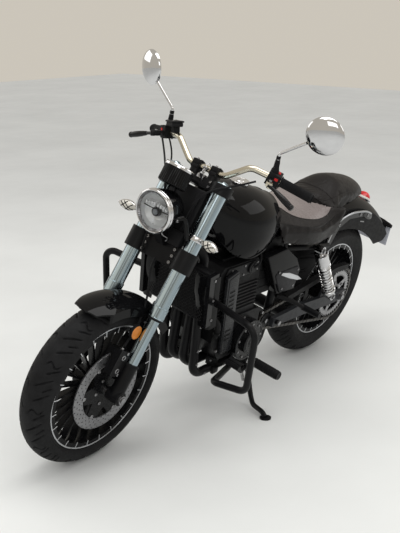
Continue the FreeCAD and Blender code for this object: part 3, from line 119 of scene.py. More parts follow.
# Finishes: one per material of the record, each with patchy colour, uneven gloss and a fine grain
patchScale, grainScale = 14, 900


def makeFinish(name, colour, roughness, metallic=0.0, spread=0.25, wear=0.05, patch=patchScale,
               grain=grainScale, lift=0.08, coat=0.0, way=None, stretch=1.0, cells=False, at=None, shine=0.12):
    material = bpy.data.materials.new(name)
    material.use_nodes = True
    nodes, links = material.node_tree.nodes, material.node_tree.links
    shader = nodes["Principled BSDF"]
    shader.inputs["Metallic"].default_value = metallic
    shader.inputs["Coat Weight"].default_value = coat
    shader.inputs["Coat Roughness"].default_value = 0.03
    shader.inputs["Specular IOR Level"].default_value = shine
    coords = nodes.new("ShaderNodeTexCoord")
    turn = nodes.new("ShaderNodeMapping")
    turn.vector_type = "TEXTURE"
    if way is not None:
        turn.inputs["Rotation"].default_value = way.to_track_quat("Z", "Y").to_euler()
        turn.inputs["Scale"].default_value = (1, 1, stretch)
    if at is not None:
        turn.inputs["Location"].default_value = at
    links.new(coords.outputs["Object"], turn.inputs["Vector"])

    def noiseOf(scale, detail):
        noise = nodes.new("ShaderNodeTexNoise")
        noise.inputs["Scale"].default_value = scale
        noise.inputs["Detail"].default_value = detail
        links.new(turn.outputs["Vector"], noise.inputs["Vector"])
        return noise

    patches = noiseOf(patch, 5)
    shades = nodes.new("ShaderNodeValToRGB")
    dark, pale = 1 - spread, 1 + spread
    shades.color_ramp.elements[0].position = 0.3
    shades.color_ramp.elements[0].color = [min(1, c * dark) for c in colour] + [1]
    shades.color_ramp.elements[1].position = 0.7
    shades.color_ramp.elements[1].color = [min(1, c * pale) for c in colour] + [1]
    links.new(patches.outputs["Fac"], shades.inputs["Fac"])
    links.new(shades.outputs["Color"], shader.inputs["Base Color"])
    gloss = nodes.new("ShaderNodeMapRange")
    gloss.inputs["From Min"].default_value = 0.3
    gloss.inputs["From Max"].default_value = 0.7
    gloss.inputs["To Min"].default_value = max(0.01, roughness - wear)
    gloss.inputs["To Max"].default_value = roughness + wear
    links.new(noiseOf(patch * 5, 6).outputs["Fac"], gloss.inputs["Value"])
    links.new(gloss.outputs["Result"], shader.inputs["Roughness"])
    bump = nodes.new("ShaderNodeBump")
    bump.inputs["Strength"].default_value = lift
    bump.inputs["Distance"].default_value = 0.001
    if cells:
        skin = nodes.new("ShaderNodeTexVoronoi")
        skin.inputs["Scale"].default_value = grain
        links.new(turn.outputs["Vector"], skin.inputs["Vector"])
        links.new(skin.outputs["Distance"], bump.inputs["Height"])
    else:
        links.new(noiseOf(grain, 3).outputs["Fac"], bump.inputs["Height"])
    links.new(bump.outputs["Normal"], shader.inputs["Normal"])
    return material


def makeGlass(name, colour):
    material = makeFinish(name, colour, 0.03, spread=0.04, wear=0.02, lift=0.02)
    shader = material.node_tree.nodes["Principled BSDF"]
    shader.inputs["Transmission Weight"].default_value = 1
    shader.inputs["IOR"].default_value = 1.45
    return material


def addPaintedReflectionBands(material, way, stops):
    # painted reflection bands run along a tube: the painted light and shade follow how far its surface turns toward
    # the way
    nodes, links = material.node_tree.nodes, material.node_tree.links
    shader = nodes["Principled BSDF"]
    coords = nodes.new("ShaderNodeTexCoord")
    facing = nodes.new("ShaderNodeVectorMath")
    facing.operation = "DOT_PRODUCT"
    facing.inputs[1].default_value = way
    links.new(coords.outputs["Normal"], facing.inputs[0])
    spread = nodes.new("ShaderNodeMapRange")
    spread.inputs["From Min"].default_value = -1
    links.new(facing.outputs["Value"], spread.inputs["Value"])
    bands = nodes.new("ShaderNodeValToRGB")
    ramp = bands.color_ramp
    ramp.elements[0].position, ramp.elements[1].position = stops[0][0], stops[-1][0]
    for place, level in stops[1:-1]:
        ramp.elements.new(place)
    for element, (place, level) in zip(ramp.elements, stops):
        element.position, element.color = place, (level, level, level, 1)
    links.new(spread.outputs["Result"], bands.inputs["Fac"])
    blend = nodes.new("ShaderNodeMix")
    blend.data_type, blend.blend_type = "RGBA", "MULTIPLY"
    blend.inputs[0].default_value = 1
    base = shader.inputs["Base Color"].links[0].from_socket
    links.new(base, blend.inputs[6])
    links.new(bands.outputs["Color"], blend.inputs[7])
    links.new(blend.outputs[2], shader.inputs["Base Color"])


forkWay = (stance.to_3x3() @ forkUp).normalized()
finishes = {
    "gloss_black": makeFinish("glossBlackPaint", (0.004, 0.004, 0.0043), 0.10, wear=0.03, lift=0.01, coat=0.34,
                              grain=260, shine=0.0),
    "satin_black": makeFinish("satinBlackCoat", (0.006, 0.006, 0.0065), 0.36, wear=0.08, lift=0.12, grain=1400),
    "wheel_black": makeFinish("wheelBlack", (0.005, 0.005, 0.0055), 0.28, wear=0.07, lift=0.05),
    "black_plastic": makeFinish("mattePlastic", (0.008, 0.008, 0.0085), 0.52, wear=0.08, lift=0.25, grain=1600),
    "shiny_plastic": makeFinish("shinyPlastic", (0.005, 0.005, 0.0055), 0.2, wear=0.05, lift=0.04, shine=0.24),
    "tyre": makeFinish("tyreRubber", (0.010, 0.010, 0.0105), 0.62, wear=0.1, lift=0.3, grain=700, patch=30),
    "rubber": makeFinish("softRubber", (0.008, 0.008, 0.0085), 0.66, wear=0.1, lift=0.3, grain=1300),
    "seat_leather": makeFinish("seatLeather", (0.010, 0.0086, 0.0082), 0.42, wear=0.07, lift=0.2, grain=420,
                               cells=True, spread=0.18, shine=0.13),
    "chrome": makeFinish("chrome", (0.62, 0.62, 0.63), 0.07, metallic=1, spread=0.04, wear=0.03, lift=0.01),
    "steel": makeFinish("bareSteel", (0.30, 0.30, 0.31), 0.30, metallic=1, wear=0.1, lift=0.06, spread=0.12),
    "fork_silver": makeFinish("brushedForkTubePaintedReflection", (0.66, 0.80, 0.88), 0.20, metallic=1, spread=0.05, wear=0.04,
                              lift=0.02, grain=1500, patch=160, way=forkWay, stretch=60),
    "bar_silver": makeFinish("barSilver", (0.60, 0.56, 0.46), 0.20, metallic=1, spread=0.06, wear=0.05,
                             lift=0.04),
    "grey_alloy": makeFinish("greyAlloy", (0.030, 0.031, 0.034), 0.40, metallic=0.3, spread=0.14, wear=0.08,
                             lift=0.12),
    "clear_glass": makeGlass("lampGlass", (0.95, 0.96, 0.97)),
    "amber_lens": makeFinish("amberLens", (0.62, 0.20, 0.02), 0.18, wear=0.04, lift=0.5, grain=330, cells=True,
                             coat=0.6),
    "red_lens": makeFinish("redLens", (0.42, 0.012, 0.016), 0.15, wear=0.03, lift=0.25, grain=300, cells=True,
                           coat=0.8),
    "plate_grey": makeFinish("blankPlate", (0.46, 0.47, 0.51), 0.35, spread=0.05, wear=0.06, lift=0.05),
}
# the rider panel's hide: smoother, and paler partly as a painted reflection of light on the seat's top
panelLeatherAndSheen = makeFinish("panelLeatherAndSheen", (0.15, 0.125, 0.118), 0.28, wear=0.06, lift=0.14, grain=420,
                          cells=True, spread=0.12, shine=0.35)
redButton = makeFinish("redButton", (0.45, 0.02, 0.02), 0.3, lift=0.05)
whiteMark = makeFinish("whiteMark", (0.75, 0.75, 0.72), 0.4, lift=0.02)
threadGrey = makeFinish("seatThread", (0.06, 0.056, 0.053), 0.7, lift=0.3, grain=2600)
mirrorGlass = makeFinish("mirrorGlass", (0.80, 0.82, 0.83), 0.02, metallic=1, spread=0.02, wear=0.01, lift=0.0)
# painted reflection stripes along the fork tubes, multiplied into their colour and fixed to the tubes' own normals
reflectionBandWay = (stance.to_3x3() @ Vector((0.35, 0.93, 0.1))).normalized()
addPaintedReflectionBands(finishes["fork_silver"], reflectionBandWay, (
    (0.0, 0.25), (0.22, 0.75), (0.36, 0.22), (0.44, 0.55), (0.5, 0.3), (0.58, 0.85), (0.68, 1.0), (0.76, 0.9),
    (0.82, 0.34), (0.86, 0.6), (0.9, 0.25), (0.95, 0.65), (1.0, 0.4)))
print("finishes ready:", len(finishes))


# Shapes: small tools that add to a mesh in millimetres
def axesOf(way):
    along = Vector(way).normalized()
    hint = up if abs(along.z) < 0.9 else ahead
    side = along.cross(hint).normalized()
    return along, side, along.cross(side)


def lathe(bm, profile, at, way, steps=48, flute=0, dip=0.0, flatRows=()):
    # profile rows are the distance along the way and the radius; flutes dip every other step
    along, side, other = axesOf(way)
    rows = []
    for index, (reach, radius) in enumerate(profile):
        if radius < 1e-6:
            rows.append([bm.verts.new(at + along * reach)])
            continue
        row = []
        for step in range(steps):
            angle = 2 * math.pi * step / steps
            size = radius
            if flute and index not in flatRows:
                size -= dip * (0.5 + 0.5 * math.cos(angle * flute)) ** 2
            row.append(bm.verts.new(at + along * reach + (side * math.cos(angle) + other * math.sin(angle)) * size))
        rows.append(row)
    for low, high in zip(rows, rows[1:]):
        for step in range(steps):
            after = (step + 1) % steps
            corners = []
            for vert in (low[step % len(low)], low[after % len(low)], high[after % len(high)],
                         high[step % len(high)]):
                if vert not in corners:
                    corners.append(vert)
            if len(corners) > 2:
                bm.faces.new(corners)


def joinRows(bm, rows, looped=True):
    # faces from each row of vertices to the next; a looped row also joins its end to its start
    for low, high in zip(rows, rows[1:]):
        for step in range(len(low) if looped else len(low) - 1):
            after = (step + 1) % len(low)
            bm.faces.new((low[step], low[after], high[after], high[step]))


def tube(bm, points, radius, steps=12, closed=False):
    points = [Vector(point) for point in points]
    count = len(points)
    rows = []
    side = None
    for index, point in enumerate(points):
        before = points[index - 1] if index or closed else point
        after = points[(index + 1) % count] if index < count - 1 or closed else point
        along = (after - before).normalized()
        if side is None:
            side = axesOf(along)[1]
        side = (side - along * side.dot(along)).normalized()
        other = along.cross(side)
        size = radius[index] if isinstance(radius, (list, tuple)) else radius
        rows.append([bm.verts.new(point + (side * math.cos(2 * math.pi * step / steps)
                                           + other * math.sin(2 * math.pi * step / steps)) * size)
                     for step in range(steps)])
    joinRows(bm, rows + rows[:1] if closed else rows)
    if not closed:
        bm.faces.new(rows[0])
        bm.faces.new(rows[-1])


def curvePoints(points, each=6):
    # a smooth line through the points
    points = [Vector(point) for point in points]
    line = []
    for index in range(len(points) - 1):
        a = points[max(index - 1, 0)]
        b, c = points[index], points[index + 1]
        d = points[min(index + 2, len(points) - 1)]
        for step in range(each):
            t = step / each
            line.append(0.5 * ((2 * b) + (c - a) * t + (2 * a - 5 * b + 4 * c - d) * t * t
                               + (3 * b - a - 3 * c + d) * t * t * t))
    return line + [points[-1]]


def roundEdges(bm, parts, edge, segments):
    edges = {found for part in parts for found in (part.edges if hasattr(part, "edges") else part.link_edges)}
    bmesh.ops.bevel(bm, geom=list(edges), offset=edge, segments=segments, profile=0.6, affect="EDGES")


def roundBox(bm, middle, size, turn=None, edge=1.5, segments=2):
    matrix = Matrix.Translation(middle) @ (turn.to_4x4() if turn else Matrix.Identity(4)) @ Matrix.Diagonal(
        (size[0], size[1], size[2], 1))
    made = bmesh.ops.create_cube(bm, size=1, matrix=matrix)
    if edge:
        roundEdges(bm, made["verts"], edge, segments)


def prism(bm, corners, low, high, edge=1.5, segments=2, way=None):
    # corners are (ahead, up) for a piece that is deep across the machine, or points with their own way
    if way is None:
        lowRow = [bm.verts.new(Vector((x, low, z))) for x, z in corners]
        highRow = [bm.verts.new(Vector((x, high, z))) for x, z in corners]
    else:
        lowRow = [bm.verts.new(Vector(point) + way * low) for point in corners]
        highRow = [bm.verts.new(Vector(point) + way * high) for point in corners]
    faces = [bm.faces.new(lowRow), bm.faces.new(list(reversed(highRow)))]
    for index in range(len(corners)):
        after = (index + 1) % len(corners)
        faces.append(bm.faces.new((lowRow[index], highRow[index], highRow[after], lowRow[after])))
    if edge:
        roundEdges(bm, faces, edge, segments)


def capBolt(bm, at, way, radius=5.0, height=4.5):
    lathe(bm, [(0, radius), (height * 0.75, radius), (height, radius * 0.84), (height, radius * 0.52),
               (height * 0.45, radius * 0.46), (height * 0.45, 0)], Vector(at), way, 12)


def hexBolt(bm, at, way, radius=7.0, height=5.0):
    lathe(bm, [(0, radius * 1.25), (height * 0.2, radius * 1.25)], Vector(at), way, 18)
    lathe(bm, [(height * 0.2, 0), (height * 0.2, radius), (height * 0.9, radius), (height, radius * 0.86),
               (height, 0)], Vector(at), way, 6)


def mount(name, data, body):
    piece = bpy.data.objects.new(name, data)
    scene.collection.objects.link(piece)
    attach(piece, body)
    return piece


def keep(name, bm, body, slot, finish=None, smooth=35, replaces=()):
    # turns a finished shape into a piece that rides on its body
    bmesh.ops.recalc_face_normals(bm, faces=bm.faces[:])
    bm.transform(stance)
    mesh = bpy.data.meshes.new(name)
    bm.to_mesh(mesh)
    bm.free()
    mesh.materials.append(finish or finishes[slot])
    mesh.shade_smooth()
    mesh.set_sharp_from_angle(angle=math.radians(smooth))
    piece = mount(name, mesh, body)
    if replaces:
        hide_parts(*replaces)


def cable(name, points, radius, body, slot="rubber"):
    data = bpy.data.curves.new(name, "CURVE")
    data.dimensions = "3D"
    data.bevel_depth = radius * mm
    data.bevel_resolution = 3
    spline = data.splines.new("NURBS")
    spline.points.add(len(points) - 1)
    for point, place in zip(spline.points, points):
        point.co = (*(stance @ Vector(place)), 1)
    spline.order_u = 3
    spline.use_endpoint_u = True
    data.materials.append(finishes[slot])
    mount(name, data, body)


# Every carried-over solid takes the finish of its slot in the record
nodeFinish = {
    "gloss_black": "fuel_tank front_fender rear_fender",
    "satin_black": "main_frame lower_clamp upper_clamp crash_bars swingarm_pivot crankcase fork_feet "
                   "exhaust_headers muffler side_stand brake_caliper rider_pegs passenger_pegs",
    "wheel_black": "front_rim rear_rim",
    "black_plastic": "switch_housings plate_bracket chain_guard radiator cylinders",
    "shiny_plastic": "radiator_shrouds fender_struts brake_reservoir hand_levers engine_side_covers "
                     "slotted_covers side_covers",
    "grey_alloy": "swingarm",
    "chrome": "mirror_heads mirror_stalks tank_cap shock_bodies",
    "steel": "rear_axle front_axle",
    "fork_silver": "fork_outer_tubes fork_inner_tubes",
    "bar_silver": "handlebar",
    "amber_lens": "front_reflectors",
    "plate_grey": "number_plate",
}
for slot, names in nodeFinish.items():
    for name in names.split():
        frame["nodes"][name].data.materials.clear()
        frame["nodes"][name].data.materials.append(finishes[slot])

# Tyres: a round section with slanted cuts and hooked grooves pressed into the tread
tyreShape = {
    "front": {"axle": frontAxle, "radius": 300, "crown": 64, "rim": 232.5, "rimHalf": 47, "periods": 11},
    "rear": {"axle": rearAxle, "radius": 323, "crown": 74, "rim": 220, "rimHalf": 55, "periods": 12},
    "around": 880, "across": 58, "cut": 4.6, "cutHalf": 3.6, "edgeAngle": 80,
    "cuts": ((0.0, 0.10, 1.02, 0.75, 0), (0.20, 0.45, 1.10, 0.75, 0), (0.42, 0.16, 1.00, 0.55, 13),
             (0.66, 0.30, 1.10, 0.75, 0), (0.80, 0.62, 1.10, 0.75, 0)),
}


def treadDip(u, s, period, crown):
    # u runs around the tyre, s across it from its middle line; both in millimetres
    reach = abs(s)
    if reach > 1.12 * crown:
        return 0.0
    dip = 0.0
    half = tyreShape["cutHalf"]
    shift = 0 if s > 0 else period / 2
    # each row is where a cut starts, how far in and out it reaches, how it leans and how it winds
    for start, low, high, lean, wind in tyreShape["cuts"]:
        if low * crown < reach < high * crown:
            share = (reach / crown - low) / (high - low)
            line = start * period + shift + lean * reach + wind * math.sin(share * 2 * math.pi)
            away = abs((u - line + period / 2) % period - period / 2)
            fade = min(1, share * 6, (1 - share) * 6)
            dip = max(dip, (1 - (away / half) ** 2) * fade)
    return max(0.0, min(1.0, dip * 1.6))


def makeTyre(which, body):
    size = tyreShape[which]
    around, across = tyreShape["around"], tyreShape["across"]
    radius, crown = size["radius"], size["crown"]
    circle = 2 * math.pi * radius
    period = circle / size["periods"]
    edge = math.radians(tyreShape["edgeAngle"])
    bead = [(size["rimHalf"] + 3, size["rim"] + 0.9), (size["rimHalf"] - 6, size["rim"] + 0.9),
            (size["rimHalf"] - 8, size["rim"] - 9)]
    bm = bmesh.new()
    rows = []
    for step in range(around):
        turn = 2 * math.pi * step / around
        outward = spoke(turn)
        row = [bm.verts.new(size["axle"] + left * side + outward * high) for side, high in reversed(bead)]
        for part in range(across + 1):
            angle = edge * (2 * part / across - 1)
            deep = crown - tyreShape["cut"] * treadDip(turn * radius, crown * angle, period, crown)
            row.append(bm.verts.new(size["axle"] - left * math.sin(angle) * deep
                                    + outward * (radius - crown + math.cos(angle) * deep)))
        row += [bm.verts.new(size["axle"] - left * side + outward * high) for side, high in bead]
        rows.append(row)
    joinRows(bm, rows + rows[:1], looped=False)
    keep(which + "TyreTread", bm, body, "tyre", smooth=50, replaces=[which + "_tyre"])


makeTyre("front", "front_wheel")
makeTyre("rear", "rear_wheel")
print("tyres made")

# Rims: a silver line around each flange with ticks inside it, hub bolts and a valve
rimTrim = {"line": 5.0, "tickCount": 24, "tickLong": 21, "tickWide": 3.2, "hubBolts": 6}


def makeRimTrim(which, body, hubRadius, hubHalf):
    size = tyreShape[which]
    axle, rim, face = size["axle"], size["rim"], size["rimHalf"] + 0.1
    for side in (1, -1):
        bm = bmesh.new()
        high, low = rim - 0.4, rim - 0.4 - rimTrim["line"]
        lathe(bm, [(0, low), (0.8, low + 0.5), (0.8, high - 0.5), (0, high)], axle + left * side * face,
              left * side, 160)
        for turn in turnsOf(rimTrim["tickCount"], 0.5):
            outward = spoke(turn)
            way = Matrix.Rotation(-turn, 3, "Y")
            roundBox(bm, axle + left * side * face + outward * (low - rimTrim["tickLong"] / 2 + 1),
                     (rimTrim["tickLong"], 1.4, rimTrim["tickWide"]), way, 0.4, 1)
        keep(f"{which}RimLine{'Left' if side > 0 else 'Right'}", bm, body, "steel", paleMetal)
    bm = bmesh.new()
    for side in (1, -1):
        for turn in turnsOf(rimTrim["hubBolts"]):
            capBolt(bm, axle + left * side * (hubHalf + 0.2) + spoke(turn) * hubRadius * 0.78, left * side, 5, 3.5)
    keep(which + "HubBolts", bm, body, "steel", finishes["steel"])
    bm = bmesh.new()
    seat = rim - 20
    lathe(bm, [(0, 4), (6, 4), (8, 2.8), (30, 2.8), (31, 3.6), (38, 3.6), (39, 2.5), (39, 0)],
          axle + left * 30 + ahead * seat, -ahead, 14)
    keep(which + "Valve", bm, body, "rubber")


paleMetal = makeFinish("rimLineSilver", (0.55, 0.56, 0.58), 0.32, metallic=0.85, spread=0.06, lift=0.03)
makeRimTrim("front", "front_wheel", 42, 58)
makeRimTrim("rear", "rear_wheel", 58, 78)


# Brake discs: a band drilled in staggered rows on a dark carrier with silver buttons
def drilledBand(bm, axle, inner, outer, plane, thick, rows, count, hole):
    depth = (outer - inner) / rows
    wide = 2 * math.pi / count
    for row in range(rows):
        middle = inner + depth * (row + 0.5)
        for step in range(count):
            centre = (step + 0.5 * (row % 2)) * wide
            rings = []
            for part in range(16):
                angle = 2 * math.pi * part / 16
                c, s = math.cos(angle), math.sin(angle)
                grow = 1 / max(abs(c), abs(s))
                square = (middle + depth / 2 * c * grow, centre + wide / 2 * s * grow)
                drilled = (middle + hole * c, centre + hole * s / middle)
                spots = []
                for radius, turn in (square, drilled):
                    outward = spoke(turn)
                    for side in (1, -1):
                        spots.append(bm.verts.new(axle + outward * radius + left * (plane + side * thick / 2)))
                rings.append(spots)
            for part in range(16):
                a, b = rings[part], rings[(part + 1) % 16]
                bm.faces.new((a[0], b[0], b[2], a[2]))
                bm.faces.new((a[1], a[3], b[3], b[1]))
                bm.faces.new((a[2], b[2], b[3], a[3]))
    for radius in (inner, outer):
        lathe(bm, [(-thick / 2, radius), (thick / 2, radius)], axle + left * plane, left, count * 4)


discShape = {
    "front": {"axle": frontAxle, "outer": 148, "inner": 106, "plane": 60.8, "rows": 4, "count": 32, "hole": 2.7},
    "rear": {"axle": rearAxle, "outer": 110, "inner": 76, "plane": -80.8, "rows": 3, "count": 26, "hole": 2.7},
    "thick": 4.6,
}


def makeDisc(which, body):
    size = discShape[which]
    axle, plane, outer, inner = size["axle"], size["plane"], size["outer"], size["inner"]
    bm = bmesh.new()
    drilledBand(bm, axle, inner, outer, plane, discShape["thick"], size["rows"], size["count"], size["hole"])
    bmesh.ops.remove_doubles(bm, verts=bm.verts[:], dist=0.01)
    keep(which + "DiscBand", bm, body, "steel", discSteel[which], smooth=30, replaces=[which + "_disc"])
    bm = bmesh.new()
    corners = []
    for step in range(24):
        turn = 2 * math.pi * step / 24
        radius = inner + 3 if step % 4 == 0 else (inner - 4 if step % 4 in (1, 3) else 66)
        corners.append(axle + spoke(turn) * radius)
    prism(bm, corners, plane - 2.2, plane + 2.2, 0.8, 1, left)
    keep(which + "DiscCarrier", bm, body, "wheel_black")
    bm = bmesh.new()
    side = 1 if plane > 0 else -1
    for turn in turnsOf(6):
        outward = spoke(turn)
        lathe(bm, [(0, 7.5), (1.6, 7.5), (2.2, 6.6), (2.2, 4), (1, 3.4), (1, 0)],
              axle + left * side * (abs(plane) + 2.2) + outward * (inner - 3), left * side, 18)
        capBolt(bm, axle + left * side * (abs(plane) + 2.2) + outward * 50, left * side, 6, 3.2)
    keep(which + "DiscButtons", bm, body, "steel")


discSteel = {
    which: makeFinish(which + "DiscSteel", (0.26, 0.26, 0.27), 0.34, metallic=0.9, spread=0.12, wear=0.08,
                      lift=0.08, grain=500, way=leftWay, at=stance @ discShape[which]["axle"])
    for which in ("front", "rear")
}
makeDisc("front", "front_wheel")
makeDisc("rear", "rear_wheel")
print("wheels dressed")

# Rear sprocket and chain: the links follow the loop around both sprockets
drive = {"plane": 100, "rearRadius": 123, "frontRadius": 38, "frontSprocket": Vector((552, 100, 345)),
         "pitch": 15.875, "teeth": 44, "toothTip": 114.5, "toothRoot": 106}


def makeSprocket():
    bm = bmesh.new()
    middle = rearAxle + left * drive["plane"]
    corners = []
    teeth = drive["teeth"]
    for step in range(teeth):
        for part, radius in ((-0.30, drive["toothRoot"]), (-0.10, drive["toothTip"]), (0.10, drive["toothTip"]),
                             (0.30, drive["toothRoot"])):
            turn = 2 * math.pi * (step + part) / teeth
            corners.append(spoke(turn) * radius)
    # an outer and an inner ring on each face, joined across the faces and through the plate
    rings = [[[bm.verts.new(middle + corner * share + left * side * 2.5) for corner in corners]
              for share in (1, 0.80)] for side in (1, -1)]
    for pair in rings + list(zip(*rings)):
        joinRows(bm, pair)
    for turn in turnsOf(5):
        outward = spoke(turn)
        prism(bm, [middle + outward * 30 + outward.cross(left) * 16, middle + outward * 30 - outward.cross(left) * 16,
                   middle + outward * 90 - outward.cross(left) * 9, middle + outward * 90 + outward.cross(left) * 9],
              -2.2, 2.2, 0.6, 1, left)
    lathe(bm, [(-20.5, 46), (-3, 46), (3, 42), (3, 31), (-20.5, 31)], middle, left, 48)
    for turn in turnsOf(5):
        hexBolt(bm, middle + left * 2.4 + spoke(turn) * 58, left, 6.5, 5)
    keep("rearSprocketToothed", bm, "rear_wheel", "steel", replaces=["rear_sprocket"])


def chainPlace(distance):
    # where the chain is after a distance along it from the rear sprocket's top, and its whole length
    rear, front = rearAxle + left * drive["plane"], drive["frontSprocket"]
    rearRadius, frontRadius = drive["rearRadius"], drive["frontRadius"]
    span = front - rear
    way = math.atan2(span.z, span.x)
    tilt = math.asin((rearRadius - frontRadius) / span.length)
    run = span.length * math.cos(tilt)
    high, low = way + math.pi / 2 - tilt, way - math.pi / 2 + tilt
    frontArc = frontRadius * (math.pi - 2 * tilt)
    whole = 2 * run + rearRadius * (math.pi + 2 * tilt) + frontArc
    distance = distance % whole
    if distance < run:
        begin, end = rear + spoke(high) * rearRadius, front + spoke(high) * frontRadius
        return begin.lerp(end, distance / run), whole
    distance -= run
    if distance < frontArc:
        return front + spoke(high - distance / frontRadius) * frontRadius, whole
    distance -= frontArc
    if distance < run:
        begin, end = front + spoke(low) * frontRadius, rear + spoke(low) * rearRadius
        return begin.lerp(end, distance / run), whole
    distance -= run
    return rear + spoke(low - distance / rearRadius) * rearRadius, whole


def makeChain():
    whole = chainPlace(0)[1]
    count = 2 * round(whole / drive["pitch"] / 2)
    pins = [chainPlace(whole * index / count)[0] for index in range(count)]
    bm = bmesh.new()
    for index, pin in enumerate(pins):
        other = pins[(index + 1) % count]
        along = (other - pin).normalized()
        across = along.cross(left)
        lathe(bm, [(-5.8, 0), (-5.8, 2.2), (-3, 2.2), (-3, 4.4), (3, 4.4), (3, 2.2), (5.8, 2.2), (5.8, 0)],
              pin, left, 10)
        spread = 4.6 if index % 2 else 3.3
        for side in (1, -1):
            outline = []
            for end, way in ((pin, -along), (other, along)):
                for part in range(5):
                    angle = math.radians(part * 45 - 90)
                    turned = way * math.cos(angle) + (across if way == along else -across) * math.sin(angle)
                    outline.append(end + turned * 5.6)
            prism(bm, outline, side * spread - 0.6, side * spread + 0.6, 0, 1, left)
    keep("chainLinks", bm, "chassis", "steel", chainSteel, replaces=["chain"])
    bm = bmesh.new()
    corners = []
    for step in range(14):
        for part, radius in ((-0.3, 31), (-0.1, 34.5), (0.1, 34.5), (0.3, 31)):
            turn = 2 * math.pi * (step + part) / 14
            corners.append(drive["frontSprocket"] + spoke(turn) * radius)
    prism(bm, corners, -2.4, 2.4, 0.3, 1, left)
    hexBolt(bm, drive["frontSprocket"] + left * 9.5, left, 11, 7)
    keep("frontSprocketToothed", bm, "chassis", "steel")


chainSteel = makeFinish("oiledChain", (0.10, 0.095, 0.09), 0.36, metallic=0.9, spread=0.3, wear=0.1, lift=0.1)
makeSprocket()
makeChain()
print("drive made")

# Fork: seals, collar bands, top caps, clamp bolts and the bar clamps, a cover, the ignition with its keys
forkTrim = {"spread": 105, "sealAt": 284, "footSealAt": 112, "collarAt": (294, 331), "capAt": 784,
            "lowerBolts": (476, 499, 522), "upperBolts": (757, 775), "axleBolts": (22, 62), "axleHalf": 139.5,
            "clampMiddle": (815, -20), "clampHalf": 40}


def makeForkTrim():
    feet = [(side, frontAxle + left * side * forkTrim["spread"]) for side in (1, -1)]
    bm = bmesh.new()
    for side, foot in feet:
        lathe(bm, [(0, 21), (0, 25.5), (5, 27), (8, 27), (8, 21)], foot + forkUp * forkTrim["sealAt"], forkUp, 36)
        lathe(bm, [(0, 21), (1, 27.6), (7, 27.6), (9, 25), (9, 21)], foot + forkUp * forkTrim["footSealAt"],
              forkUp, 36)
    keep("forkSeals", bm, "fork", "rubber")
    bm = bmesh.new()
    for side, foot in feet:
        for at in forkTrim["collarAt"]:
            lathe(bm, [(-1.6, 29.4), (-0.8, 30.4), (0.8, 30.4), (1.6, 29.4)], foot + forkUp * at, forkUp, 48)
        top = foot + forkUp * forkTrim["capAt"]
        lathe(bm, [(0, 26), (2.5, 26), (4, 24.5), (4, 14), (7, 13), (7, 8), (5, 7), (5, 0)], top, forkUp, 36)
        lathe(bm, [(4, 9.5), (10, 9.5), (11, 8.5), (11, 0)], top, forkUp, 6)
    keep("forkCaps", bm, "fork", "fork_silver")
    bm = bmesh.new()
    clampUp, clampAhead = forkTrim["clampMiddle"]
    for side in (1, -1):
        for at in forkTrim["lowerBolts"]:
            capBolt(bm, onFork(at, 14.5, side * 61), forkAhead, 6.2, 6)
        for at in forkTrim["upperBolts"]:
            capBolt(bm, onFork(at, 14.5, side * 62), forkAhead, 5, 5)
        for at in forkTrim["axleBolts"]:
            capBolt(bm, onFork(at, -24, side * forkTrim["spread"]), -forkAhead, 5, 5)
        hexBolt(bm, frontAxle + left * side * forkTrim["axleHalf"], left * side, 11, 5)
        for part in (-1, 1):
            capBolt(bm, onFork(clampUp + 17, clampAhead + part * 12, side * forkTrim["clampHalf"]), forkUp, 4.2, 5)
    lathe(bm, [(0, 22), (3, 22), (5, 19), (5, 10), (9, 9), (9, 0)], onFork(forkTrim["capAt"], -45), forkUp, 6)
    keep("forkBolts", bm, "fork", "steel")
    bm = bmesh.new()
    for side in (1, -1):
        # the bar clamps' rounded caps, split by a shadow line
        middle = onFork(clampUp, clampAhead, side * forkTrim["clampHalf"])
        lathe(bm, [(-16, 0), (-16, 17), (-14.5, 18.8), (14.5, 18.8), (16, 17), (16, 0)], middle, left, 36)
        roundBox(bm, middle + forkUp * 8, (42, 30, 17), forkTurn, 4, 2)
        roundBox(bm, middle - forkUp * 9, (42, 30, 14), forkTurn, 4, 2)
    keep("barClamps", bm, "fork", "satin_black")


def makeHeadCover():
    # a dark cover between the two clamps, ahead of the steering head
    bm = bmesh.new()
    roundBox(bm, onFork(642, 8), (30, 148, 196), forkTurn, 7, 3)
    roundBox(bm, onFork(558, 18), (34, 150, 52), forkTurn, 6, 2)
    for side in (1, -1):
        roundBox(bm, onFork(640, 24, side * 52), (8, 16, 170), forkTurn, 3, 2)
    keep("headCover", bm, "fork", "black_plastic")


makeForkTrim()
makeHeadCover()


def makeIgnition():
    at = onFork(786, 6, 12)
    bm = bmesh.new()
    lathe(bm, [(-12, 17), (0, 17), (4, 15), (4, 9), (2, 8), (2, 0)], at, forkUp, 32)
    roundBox(bm, at + forkUp * 16, (3, 9, 20), forkTurn, 0.8, 1)
    lathe(bm, [(24, 0), (24, 9.5), (25, 11), (30, 11), (31, 9.5), (31, 0)], at, forkUp, 20)
    keep("ignitionKey", bm, "fork", "steel")
    bm = bmesh.new()
    loops = ((at + forkUp * 34 + left * 6, 11, left), (at + forkUp * 24 + forkAhead * 14 + left * 8, 6, ahead),
             (at + forkUp * 14 + forkAhead * 18 + left * 10, 6, left))
    for middle, radius, way in loops:
        along, side, other = axesOf(way)
        tube(bm, [middle + (side * math.cos(2 * math.pi * k / 24) + other * math.sin(2 * math.pi * k / 24)) * radius
                  for k in range(24)], 1.1, 8, True)
    prism(bm, [at + forkAhead * 20 + left * 10 + left * x + up * z
               for x, z in ((-7, 4), (7, 4), (8, -6), (5, -22), (-5, -22), (-8, -6))], -1, 1, 0.6, 1, forkAhead)
    keep("keyRing", bm, "fork", "chrome")


makeIgnition()
print("fork dressed")

# Headlight: a notched chrome rim, a faceted bowl with a bar and a projector, and a domed lens
lamp = {"middle": onFork(603, 143), "radius": 74, "notches": 72, "facets": 28, "depth": 112}


